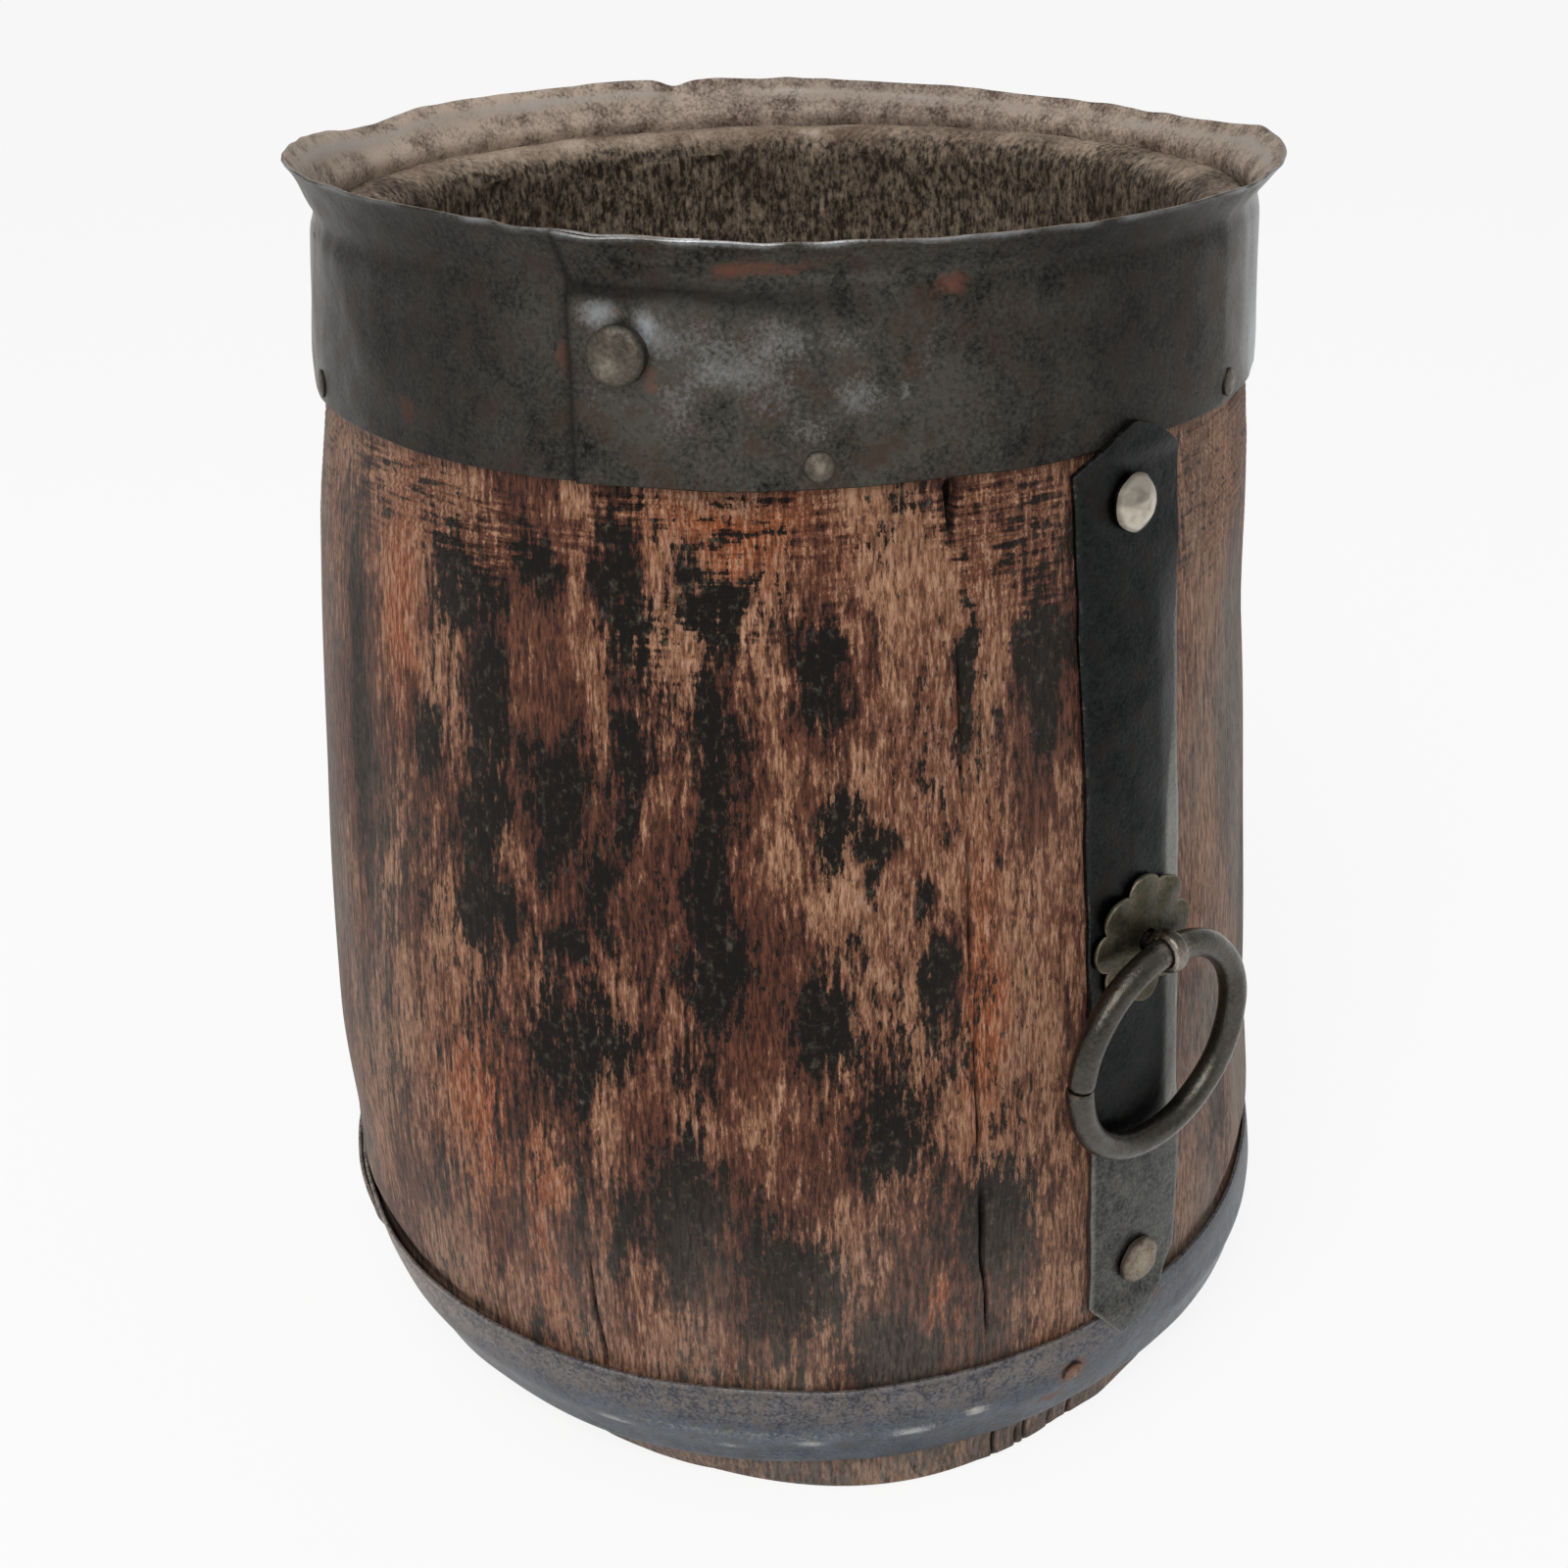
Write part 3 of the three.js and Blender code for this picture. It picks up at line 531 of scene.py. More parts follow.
def split_columns():
    """Even azimuths all round, with closer ones in place of them wherever the wood is split."""
    columns = np.arange(-np.pi, np.pi, COLUMN_STEP / BELLY_RADIUS)
    for low, high, size in SPLIT_COLUMNS:
        low, high = np.radians([low, high])
        closer = np.arange(low, high, size / BELLY_RADIUS)
        columns = np.concatenate([columns[(columns < low) | (columns > high)], closer])
    return np.sort(columns)


def arc(centre, radius, from_degrees, to_degrees, count):
    """Points of a circle's arc as rows of distance from the axis and height."""
    angle = np.radians(np.linspace(from_degrees, to_degrees, count))
    return np.stack([centre[0] + radius * np.cos(angle), centre[1] + radius * np.sin(angle)], -1)


shoulder = BODY_HEIGHT - MOUTH_ROUND_INSIDE
corner = FLOOR_THICKNESS + FLOOR_CORNER
outer_round = (MOUTH_RADIUS - MOUTH_ROUND_OUTSIDE, BODY_HEIGHT - MOUTH_ROUND_OUTSIDE)
inner_round = (cavity_radius(shoulder) + MOUTH_ROUND_INSIDE, shoulder)
floor_round = (cavity_radius(corner) - FLOOR_CORNER, corner)
outer_rows = np.concatenate([FOOT_ROWS, SIDE_ROWS, NECK_ROWS])
BOTTOM_RADII = np.array([0, 40, 80, 108, FOOT_RADIUS - FOOT_EDGE])
FLOOR_RADII = np.array([75, 50, 25, 0])
parts = {
    "bottom": np.stack([BOTTOM_RADII, 0 * BOTTOM_RADII], -1),
    "side": np.stack([wood_radius(outer_rows), outer_rows], -1),
    "mouth": np.vstack([arc(outer_round, MOUTH_ROUND_OUTSIDE, 30, 90, 3),
                        arc(inner_round, MOUTH_ROUND_INSIDE, 90, 170, 9)]),
    "hollow": np.stack([cavity_radius(HOLLOW_ROWS), HOLLOW_ROWS], -1),
    "floor": np.vstack([arc(floor_round, FLOOR_CORNER, -18, -90, 5),
                        np.stack([FLOOR_RADII, 0 * FLOOR_RADII + FLOOR_THICKNESS], -1)]),
}
profile = np.vstack(list(parts.values()))
part_of_row = np.repeat(list(parts), [len(rows) for rows in parts.values()])
azimuth = split_columns()[None, :]
radius = profile[:, :1]
height = profile[:, 1:]
smooth_block = polar(radius, azimuth, height)
print("block grid:", smooth_block.shape[:2])

# %% [markdown]
# ## Unevenness of the block
#
# Each kind of mark is a field over the same grid. Under the iron the wood keeps to its size, because the
# bands and the strap are fitted to it, so the fields fade out there. The tree did not grow straight: the
# block bows out on one side, and its foot is drawn in on that side, together with the band on it.

# %% Fields of the block
# Azimuth and spread in degrees, mm outwards, and the heights between which the side bows.
BOWS = [(-112, 42, 2.4, 50, 262), (36, 26, -2.4, 50, 235)]
# Azimuth and spread in degrees, and mm.
GAPS = [(-100, 34, 1.5), (34, 24, 1.3)]  # the base band stands off the wood
BAND_OUT = [(45, 38, 4.6), (-105, 35, -2.8)]  # its lower edge, and the wood in it, are off their circle
BAND_SLIP = [(-112, 34, 6.5), (45, 34.38, 1.5)]  # it has slipped down, most of all on the left
FOOT_OUT = [(-28, 21, 5), (-112, 50, -10)]  # the foot is full in front and chipped away on the left
STRAP_HALF_WIDTH = (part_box("side_strap")[1].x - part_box("side_strap")[0].x) / MM / 2
STRAP_MARGIN = 3  # the wood stays even this far beside the strap


def band_head(azimuths):
    """Height of the base band's upper edge: a level line, less what it has slipped down."""
    return BASE_TOP - 0.2 - bulges(azimuths, BAND_SLIP)


def lower_shift(azimuths, heights):
    """The foot's shift at the floor, the band's at its lower edge, and none at its upper edge."""
    up = np.clip(heights / BASE_LOW, 0, 1)
    at_floor = bulges(azimuths, FOOT_OUT)
    shift = at_floor + (bulges(azimuths, BAND_OUT) - at_floor) * up
    return shift * np.clip((BASE_TOP - heights) / (BASE_TOP - BASE_LOW), 0, 1)


is_bottom, is_side, is_mouth, is_hollow, is_floor = ((part_of_row == name)[:, None] for name in parts)
along_side = apart(azimuth, 0) * radius
under_strap = np.exp(-((along_side / (STRAP_HALF_WIDTH + STRAP_MARGIN)) ** 8))
over_band = height - band_head(azimuth)
bare_side = step(over_band, -1, 2) * (1 - step(height, RIM_LOW - 3, RIM_LOW))
bare_foot = 1 - step(height, BASE_LOW - 1, BASE_LOW + 2)
free = is_side * np.clip(bare_side * (1 - under_strap) + bare_foot, 0, 1)
outward = is_side * lower_shift(azimuth, height)
outward = outward + is_bottom * bulges(azimuth, FOOT_OUT) * (radius / (FOOT_RADIUS - FOOT_EDGE)) ** 6
print("foot's edge from", round(outward.min(), 1), "to", round(outward.max(), 1), "mm off its circle")

# %% Relief of the block
ADZE_MARKS = [(0.6, (60, 60, 110), 11), (0.35, (15, 15, 60), 12), (0.16, (5, 5, 50), 13)]
ADZE_DEPTH = 0.45
relief = free * (unevenness(smooth_block, ADZE_MARKS) - ADZE_DEPTH)
relief += is_side * bare_foot * 0.7 * noise(smooth_block, (14, 14, 6), 14)
for centre, wide, far, low, high in BOWS:
    between = step(height, low, low + 40) * (1 - step(height, high - 45, high))
    relief += free * between * bulges(azimuth, [(centre, wide, far)])
relief -= is_side * (1 - under_strap) * bell(over_band, 5) * bulges(azimuth, GAPS)

CHATTER_PITCH = 1.9
CHATTER_LOW = 205
patchy = np.clip(0.4 + 1.1 * noise(smooth_block, (17, 17, 15), 15) + 0.5 * step(height, 228, 246), 0, 1)
tool = free * bare_side * step(height, CHATTER_LOW, CHATTER_LOW + 28) * patchy
wander = 1.6 * noise(smooth_block, (22, 22, 9), 16)
relief += 0.2 * tool * np.cos(2 * np.pi * (height + wander) / CHATTER_PITCH)

GOUGE_MARKS = [(0.9, (7, 7, 16), 17), (0.7, (3.2, 3.2, 3.6), 18)]
relief += is_hollow * step(height, 40, 60) * unevenness(smooth_block, GOUGE_MARKS)
relief += is_mouth * 0.35 * noise(smooth_block, (9, 9, 9), 19)
print("relief from", round(relief.min(), 2), "to", round(relief.max(), 2), "mm")

# %% Cracks of the block
def wavering(size, seed):
    """Random numbers along the height alone, one for each row."""
    return noise(polar(np.zeros_like(height), 0, height), size, seed)


def crack(line_degrees, half_width, depth, seed):
    """Groove along a line of azimuths, a bell across it; returns how deep it is and how much painted shade
    darkens it.
    """
    away = (azimuth - np.radians(line_degrees)) * radius - 0.5 * wavering(9, seed)
    return depth * bell(away, half_width), np.clip(depth, 0, 1) * bell(away, 1.15 * half_width)


MAIN_CRACK = -21.8  # degrees, at the rim band
MAIN_LEAN = 2.4  # degrees from there to the lower opening
SECOND_CRACK = -60.3  # degrees, at the base band
main_line = MAIN_CRACK + MAIN_LEAN * (RIM_LOW - height) / (RIM_LOW - 70)
main_wide = 0.32 + 0.5 * bell(height - 88, 12) + 0.8 * bell(height - RIM_LOW, 9)
main_deep = 0.8 + 2.4 * bell(height - 84, 26) + 2.7 * bell(height - RIM_LOW, 14)
main_deep = is_side * bare_side * main_deep * np.clip(0.65 + 0.9 * wavering(14, 21), 0, 1)
second_line = SECOND_CRACK - 1.2 * (height - 41) / 34
second_deep = is_side * bare_side * 1.6 * (1 - step(height, 62, 78))
grooves = [crack(main_line, main_wide, main_deep, 22), crack(second_line, 0.36, second_deep, 23)]
FOOT_SPLITS = [(-16.3, 11), (-13.1, 8), (-11.9, 12), (-8.2, 9), (-5.2, 12)]  # azimuth and reach upwards
for split_azimuth, reach in FOOT_SPLITS:
    short = is_side * 1.5 * (1 - step(height, reach - 3, reach))
    grooves.append(crack(split_azimuth, 0.38, short, 24))
relief -= sum(groove for groove, _ in grooves)
# Painted shade darkens the cracks' floors, and painted shadow the gap where the base band stands off.
darkness = np.clip(sum(black for _, black in grooves), 0, 1)
for centre, wide, _ in GAPS:
    gap_line = bell(over_band - 0.8, 1.6) * bell(apart(azimuth, centre), np.radians(wide))
    darkness = np.maximum(darkness, is_side * 0.95 * gap_line)
print("deepest crack", round(float(max(groove.max() for groove, _ in grooves)), 1), "mm")

# %% [markdown]
# ## Blotches of the block
#
# Some dark blotches and some worn patches are large enough to know the measure by, so they are set one by
# one, as an azimuth, a height, and half a width and half a height. On the sides that the photograph does
# not show, chance puts blotches of the same kind.

# %% Blotches of the block
BLOTCHES = [
    (-74, 228, 12, 10), (-71, 208, 7, 14), (-72, 182, 6, 17), (-73, 158, 5, 11), (-65, 237, 7, 11),
    (-56, 235, 7, 9), (-54, 221, 7, 9), (-64, 187, 8, 16), (-46, 231, 7, 11), (-46, 202, 7, 14),
    (-47, 171, 7, 12), (-35, 218, 6, 15), (-11, 218, 8, 10), (-11, 207, 5.5, 14), (-34, 185, 5, 9),
    (-81, 193, 5, 14), (-55, 193, 3, 15), (-61, 131, 16, 15), (-46, 156, 8, 17),
    (-36, 139, 8, 11), (-29, 110, 8, 15), (-24, 149, 7, 7), (-51, 86, 9, 23), (-41, 75, 12, 20),
    (-19, 82, 11, 14), (-30, 49, 11, 11), (-57, 80, 3, 20), (-62, 88, 2, 16), (-71, 158, 6, 6),
    (-94, 194, 5, 44), (-57, 170, 4, 12), (-20, 215, 2, 16), (-62, 155, 6, 7),
    (-46, 187, 5, 8), (-30, 176, 3, 5), (-25, 168, 3, 6),
]
WORN = [
    (-85, 221, 11, 24), (-61, 231, 4, 11), (-50, 229, 5, 11), (-40, 187, 6, 27), (-25, 227, 6, 15),
    (-28, 182, 8, 15), (-18, 217, 5, 24), (-10, 180, 4, 8), (-74, 108, 6, 23), (-66, 77, 3, 32),
    (-52, 125, 4, 12), (-41, 132, 3, 30), (-34, 88, 5, 13), (-20, 126, 5, 20), (-12, 56, 6, 11),
    (-53, 51, 9, 6), (-67, 211, 3, 12), (-59, 206, 3, 14), (14, 228, 6, 20), (-50, 190, 3, 16),
    (-71, 95, 4, 20), (-59, 187, 3, 9), (-18, 237, 9, 7), (-15, 98, 3, 24),
]
ORANGE = [(-85, 221, 9, 24), (-74, 104, 11, 30), (-67, 77, 7, 34), (-24, 66, 7, 18), (-19, 135, 5, 34),
          (-44, 246, 16, 6), (120, 90, 12, 40), (190, 150, 10, 40)]
FAINT = 1e-7  # keeps a logarithm finite
CHANCE = 64  # blotches and as many worn patches on the other sides
# From and to: azimuths that the photograph doesn't show, heights, half widths and half heights.
PATCH_LIMITS = [(16, 252), (44, 250), (4, 12), (10, 26)]


def by_chance(seed):
    """Patches of the same kind, drawn evenly between the limits."""
    draw = np.random.default_rng(seed)
    return np.stack([draw.uniform(low, high, CHANCE) for low, high in PATCH_LIMITS], -1)


aside = unevenness(smooth_block, [(2, (11, 11, 18), 31), (3, (4.5, 4.5, 9), 39)])
bent_azimuth = azimuth + aside / BELLY_RADIUS
bent_height = height + unevenness(smooth_block, [(4, (10, 10, 14), 32), (6, (4, 4, 7), 40)])
spot, worn, orange = (spots(bent_azimuth, bent_height, BELLY_RADIUS, places) for places in
                      ([*BLOTCHES, *by_chance(33)], [*WORN, *by_chance(34)], ORANGE))
# A spot is exp(-d^2). With d^4 in its place, its top is flatter and its edge is steeper.
sooty = np.exp(-np.log(np.maximum(spot, FAINT)) ** 2)
coarse = noise(smooth_block, (12, 12, 34), 35)
fine = noise(smooth_block, (5, 5, 14), 36)
under_bands = 0.1 * (1 - step(height, BASE_TOP, BASE_TOP + 24)) * (1 - bare_foot)
middle = bell(height - 160, 50)
uneven = 0.28 * coarse + 0.22 * fine
soot = 0.2 + uneven * (1 - 0.65 * spot) + 0.4 * (spot + sooty) - 0.22 * worn * (1 - spot)
upper = step(height, 195, 225)
soot = soot + under_bands + 0.04 * middle - 0.08 * upper + 0.2 * bare_foot
red = 0.38 + 0.4 * noise(smooth_block, (13, 13, 36), 37) + 0.2 * fine + 0.45 * spot**0.42 - 0.24 * worn
orange = 1.1 * orange
red = red + 0.1 * middle - 0.12 * upper - 0.2 * orange
# Painted sheen: grey on the two sides that turn away from the camera, less of it higher up; the foot and the
# lowest part of the side are greyer too.
side_sheen = (1 - 0.2 * step(height, 120, 190)) * bell(apart(azimuth, -116), np.radians(24))
side_sheen = side_sheen + 1.1 * bell(apart(azimuth, 30), np.radians(28)) * (1 - 0.5 * step(height, 185, 235))
grey = np.maximum(side_sheen * np.clip(0.75 + 0.6 * coarse, 0, 1), 0.6 * bare_foot)
grey = np.maximum(grey, 0.34 * (1 - step(height, 50, 120)) * np.clip(0.8 + 0.6 * coarse, 0, 1))
print("soot of the side, mean:", round(float(soot[is_side[:, 0]].mean()), 2))

# %% Wooden body
slope = np.gradient(profile, axis=0)
facing = np.stack([slope[:, 1], -slope[:, 0]], -1)
facing /= np.linalg.norm(facing, axis=1, keepdims=True)
facing[[0, -1]] = (0, -1), (0, 1)
relief = relief * (radius > 0)
block_radius = radius + outward + relief * facing[:, :1]
block = polar(block_radius, azimuth, np.maximum(height + relief * facing[:, 1:], 0))
rubbed = 0.45 + 0.45 * bell(apart(azimuth, 142), 0.9) + 0.3 * noise(smooth_block, (12, 12, 12), 38)
wood_fields = {
    "soot": soot,
    "red": red,
    "orange": orange,
    "grey": grey,
    "tool": tool,
    "crack": darkness,
    "hollow": is_hollow | is_floor | is_mouth,
    "mouth": is_mouth * step(height, shoulder + 1, shoulder + 7) * rubbed,
}
make_piece("wooden_body_hewn", block, "wooden_body", wood, wood_fields)

# %% [markdown]
# ## Finish of the iron
#
# The bands, the strap, the ring and the nails are wrought and sheet iron. Forging leaves a blue-black
# scale; damp turns it brown, handling polishes the edges back to grey metal, and dust settles on what
# lies open. One function writes that sequence once, and each piece gets its own colours, gloss and
# size of patches. Where a piece is bright, rusty, dirty or dusty is again a number in its mesh. The bright
# number also carries painted highlights, sheen and reflections, and the dirty one carries painted shade.

# %% Blackened iron
GRIT = 0.9  # mm
IRON_FIELDS = ("rust", "bright", "dirt_and_shade", "dust")


def blackened_iron(name, scale_colour, tint_colour, brown_colour, bright_colour, gloss, cell):
    """Scaled iron: two tones in broad patches, brown in smaller ones, then wear and painted highlights,
    rust, dust, and near-black spots of dirty metal and painted shade.
    """
    finish, tree = new_finish(name)
    sizes = {"broad": cell, "small": 0.45 * cell, "grit": GRIT}
    broad, small, grit = patterns(tree, {kind: (size, size, 0.65) for kind, size in sizes.items()}).values()
    rust, bright, dirt_and_shade, dust = (add(tree, FIELD, attribute_name=field).outputs["Fac"]
                                for field in IRON_FIELDS)
    # The bright field holds painted highlights, sheen and reflections as well as wear: it lightens the tone, lays
    # on bright metal and lightens the dust.
    tones = cover(tree, broad, 1.3, 1.82, more=[(bright, 0.9), (small, 0.8), (grit, 1.3)])
    worn = cover(tree, bright, 0.88, 1.6, more=[(grit, 0.7), (small, 0.5)])
    rusty = cover(tree, rust, 1.05, 1.5, 0.8, more=[(small, 1.4)])
    speckled = cover(tree, small, 0.78, 1.16, more=[(grit, 0.9), (bright, 0.4)])
    colour = coated(tree, scale_colour, [
        (tones, tint_colour),
        (cover(tree, small, 0.48, 0.66, 0.7), brown_colour),
        (worn, bright_colour),
        (rusty, "#70402b"),
        (dust, coated(tree, "#5f4a3d", [(speckled, "#cbb8a7")])),
        # Near black: dirty metal, and painted shade and painted dark reflections.
        (dirt_and_shade, "#0c0b0a"),
    ])
    dull = add(tree, MATH, {0: rusty, 1: dust}, operation="MAXIMUM").outputs[0]
    dull = add(tree, MATH, {0: dull, 1: dirt_and_shade}, operation="MAXIMUM").outputs[0]
    rough = add(tree, MATH, {0: small, 1: 0.3, 2: gloss - 0.15}, operation="MULTIPLY_ADD").outputs[0]
    rough = add(tree, MATH, {0: dull, 1: 0.25, 2: rough}, operation="MULTIPLY_ADD").outputs[0]
    height = add(tree, MATH, {0: grit, 1: 0.4, 2: small}, operation="MULTIPLY_ADD").outputs[0]
    bump = add(tree, "ShaderNodeBump", {"Strength": 0.7, "Distance": 0.4 * MM, "Height": height})
    surface = add(tree, "ShaderNodeBsdfPrincipled", {
        "Base Color": colour,
        "Metallic": cover(tree, dull, 0, 1, most=0.05, least=0.92),
        "Roughness": rough,
        "Specular IOR Level": cover(tree, dirt_and_shade, 0, 1, most=0.03, least=0.5),
        "Normal": bump.outputs[0],
    })
    add(tree, "ShaderNodeOutputMaterial", {"Surface": surface.outputs[0]})
    print(name, "with", len(tree.nodes), "nodes")
    return finish


# %% Irons of the measure
# Colours of the scale, its lighter tone, its brown and its bright metal, which also serves for painted
# highlights, then roughness and mm of a patch.
rim_iron = blackened_iron("scaled_sheet_iron", "#191918", "#54514a", "#46362c", "#aeb1b3", 0.40, 15)
base_iron = blackened_iron("blued_sheet_iron", "#303843", "#5c626b", "#4b443d", "#cfccc4", 0.42, 8)
strap_iron = blackened_iron("forged_strap_iron", "#0a0c0d", "#252727", "#211c18", "#8d8c86", 0.36, 12)
bar_iron = blackened_iron("handled_bar_iron", "#3a3935", "#56534c", "#443a32", "#b8b0a3", 0.25, 9)
rosette_iron = blackened_iron("thin_rosette_iron", "#333329", "#56533f", "#443628", "#a19a84", 0.42, 6)
nail_iron = blackened_iron("rusted_nail_iron", "#6a6258", "#8f8474", "#6b4d38", "#b8ae9c", 0.45, 3)
dark_nail_iron = blackened_iron("dark_nail_iron", "#46423b", "#6a6459", "#4b3d31", "#b4ab9a", 0.42, 3)

# %% [markdown]
# ## Rim band
#
# A strip of sheet is bent round the mouth until its ends overlap, nailed through the overlap, and its
# upper edge is beaten out over a stake. A plain ring with a Solidify modifier would have no overlap, so
# the strip is a section carried round more than one turn: it starts with its outer end at the seam,
# stays lifted over its own inner end, and then comes down onto the wood.

# %% Bent strips
SHEET = 1.0  # thickness of both bands
PLAY = 0.3  # between irons that lie on each other
STRIP_COLUMNS = 560
STRIP_RAMP = 26  # length along which a strip comes down from its own end
AT_EDGE = 0.985  # shares above this are the worn edge
EVEN_AT_STRAP = 20  # half the width, under the strap, where the bands aren't dented


def strip_section(count, edge=0.25):
    """Section of a sheet as shares of its height, shares of its thickness and rounding of its edges."""
    up = np.linspace(0, 1, count)
    share = np.concatenate([up, [1, 1], up[::-1], [0, 0]])
    thick = np.concatenate([np.ones(count), [0.8, 0.2], np.zeros(count), [0.2, 0.8]])
    bulge = np.concatenate([np.zeros(count), [edge, edge], np.zeros(count), [-edge, -edge]])
    return share[None, :], thick[None, :], bulge[None, :]


def bent_strip(seam, turning, lap, radius):
    """Strip of a little over one turn: the angle along it, its azimuth, its edge, and its lift over its own
    end, which is full along the lap and then goes smoothly down to nothing."""
    along = np.linspace(0, 2 * np.pi + lap / radius, STRIP_COLUMNS)[:, None]
    azimuths = np.radians(seam) + turning * along
    landing = lap / radius + 2 * SHEET / radius
    lift = (SHEET + PLAY) * (1 - step(along, landing, landing + STRIP_RAMP / radius))
    return along, azimuths, polar(radius, azimuths, 0), lift


def beside_strap(azimuths, radius):
    """1 where a band may be dented, and 0 under the strap: a steep bell curve, upside down."""
    return 1 - np.exp(-((apart(azimuths, 0) * radius / EVEN_AT_STRAP) ** 6))


# %% Shape of the rim band
RIM_SEAM = -59.2  # degrees
RIM_LAP = 26
RIM_ROWS = 34
LIP_STAND = 10.8
LIP_TILT = 2.9
LIP_HIGH = -130  # degrees
LIP_WAVE = 0.8
LIP_CREST = 28  # degrees
FLARE_DEPTH = 12
LIP_FLARE = 3.8
LIP_NECK = 1.2
LIP_NECK_RISE = 2.5
LIP_NECK_REACH = 2.5
# Azimuth and spread in degrees, and mm.
LIP_NICKS = [(157, 2, -1.6), (212, 9, -2.2), (54, 12, 2.2)]  # upwards
LIP_TIP = [(46, 14, 1.6)]  # outwards
CREASE_AZIMUTH = 17.5  # degrees
CREASE_DEPTH = 0.8
HAMMER_MARKS = [(0.42, (17, 17, 13), 43), (0.2, (6, 6, 9), 44)]

rim_along, rim_azimuth, edge_line, lift = bent_strip(RIM_SEAM, 1, RIM_LAP, NECK_RADIUS)
share, thick, bulge = strip_section(RIM_ROWS)
lip_top = BODY_HEIGHT + LIP_STAND + LIP_TILT * np.cos(apart(rim_azimuth, LIP_HIGH))
lip_top += LIP_WAVE * np.cos(3 * apart(rim_azimuth, LIP_CREST)) + 0.35 * noise(edge_line, 7, 41)
lip_top += bulges(rim_azimuth, LIP_NICKS)
rim_foot = RIM_LOW + 0.5 * noise(edge_line, 22, 42)
rim_height = rim_foot + (lip_top - rim_foot) * share
flare = np.clip(1 - (lip_top - rim_height) / FLARE_DEPTH, 0, 1) ** 2.6
neck = LIP_NECK * bell(rim_height - BODY_HEIGHT - LIP_NECK_RISE, LIP_NECK_REACH)
rim_points = polar(NECK_RADIUS, rim_azimuth, rim_height)
hammered = 0.28 + unevenness(rim_points, HAMMER_MARKS)
crease_side = apart(rim_azimuth, CREASE_AZIMUTH) * NECK_RADIUS
crease = CREASE_DEPTH * np.exp(-np.where(crease_side < 0, -crease_side / 5, crease_side / 11))
dents = beside_strap(rim_azimuth, NECK_RADIUS) * (hammered + crease * (1 - flare))
gape = 1.3 * flare * bell(rim_along * NECK_RADIUS - 6, 8)
gape -= 1.4 * bell(apart(rim_azimuth, -118), 0.5) * step(rim_height, 266, 290)
flared = (LIP_FLARE + bulges(rim_azimuth, LIP_TIP)) * flare
rim_radius = wood_radius(rim_height) + WOOD_FIT + flared - neck + lift + dents + gape
print("rim band: lip", round(float(rim_radius.max()), 1), "mm from the axis")

# %% Rim band
RIM_RUST = [(-60.4, 278, 2, 6), (-51, 274, 1.8, 4), (-53.6, 288.6, 1.6, 1.6), (-54.2, 286.4, 1.3, 1.2),
            (-52.6, 285.4, 1, 1.1), (-82, 262, 6, 4), (-22, 290, 5, 3), (-40, 294, 12, 2), (60, 269, 9, 8),
            (120, 279, 12, 6), (190, 266, 10, 8), (215, 284, 14, 5)]
# Painted highlights on the sheet's bulge beside the seam nail.
RIM_SHINE = [(-55.9, 286.2, 4.5, 2.8), (-51.6, 283.5, 2, 3.5)]
# Pale patches: painted sheen on the band's broad middle and on its other sides, and two narrow pale marks.
RIM_PALE = [(-40, 275, 32, 15), (-26.4, 271, 0.9, 3), (-25.4, 263, 0.9, 6),
            (60, 280, 24, 16), (140, 275, 26, 14), (230, 278, 24, 14)]
# Painted reflections of the room on the parts of the band that turn away from the camera.
RIM_REFLECTIONS = [(38, 276, 26, 60), (-118, 276, 22, 60)]  # flats that lean away and mirror the room
# Painted shadow under the lip, right of the seam: a dark band along the hollow, at this height.
LIP_SHADOW = 290.4  # its height at the seam
on_front = thick > 0.5
beside_seam = (rim_along - 2 * np.pi) * NECK_RADIUS
beside_end = rim_along * NECK_RADIUS
# A dirty line with painted shadow on the under layer beside the lap's edge, and a dark line at the lap's end.
seam_shadow_and_dirt = np.maximum(bell(beside_seam + 0.8, 1.4) * (beside_seam < 1), 0.9 * bell(beside_end, 0.5))
# The painted shadow under the lip wavers, and fades out along the band away from the seam.
lip_shadow_line = LIP_SHADOW - 0.05 * beside_end + 0.6 * noise(edge_line, 9, 45)
shadow_under_lip = bell(rim_height - lip_shadow_line, 2.2) * step(beside_end, -1, 1)
shadow_under_lip = shadow_under_lip * (1 - step(beside_end, 24, 80))
broken = 0.65 + 0.5 * noise(rim_points, (7, 7, 6), 48)
# The painted reflections are brighter on the right than on the left, and streaked along the height.
facing_right = np.where(apart(rim_azimuth, -40) > 0, 1.3, 0.75)
streaked = 0.8 + unevenness(rim_points, [(0.3, (5, 5, 26), 49), (0.25, (9, 9, 9), 50)])
rim_rust, nail_shine, pale, reflections = (spots(rim_azimuth, rim_height, NECK_RADIUS, places) for places in
                                      (RIM_RUST, RIM_SHINE, RIM_PALE, RIM_REFLECTIONS))
painted_shine = (0.7 * nail_shine + 0.65 * pale) * broken + reflections * streaked * facing_right
# Painted shade on the band's left side and on its front beside the strap.
painted_side_shade = bell(apart(rim_azimuth, -80), 0.32) + bell(apart(rim_azimuth, 0), 0.3)
lip_edge = 0.55 + 0.5 * noise(edge_line, 5, 46)
# Painted highlights inside the lip: a sheen stripe along it, and a broad gleam at the back left.
lip_sheen = bell(share - 0.93, 0.022) * (0.7 + 0.4 * noise(edge_line, 16, 47))
gleam = bell(apart(rim_azimuth, -150), 0.7) * broken
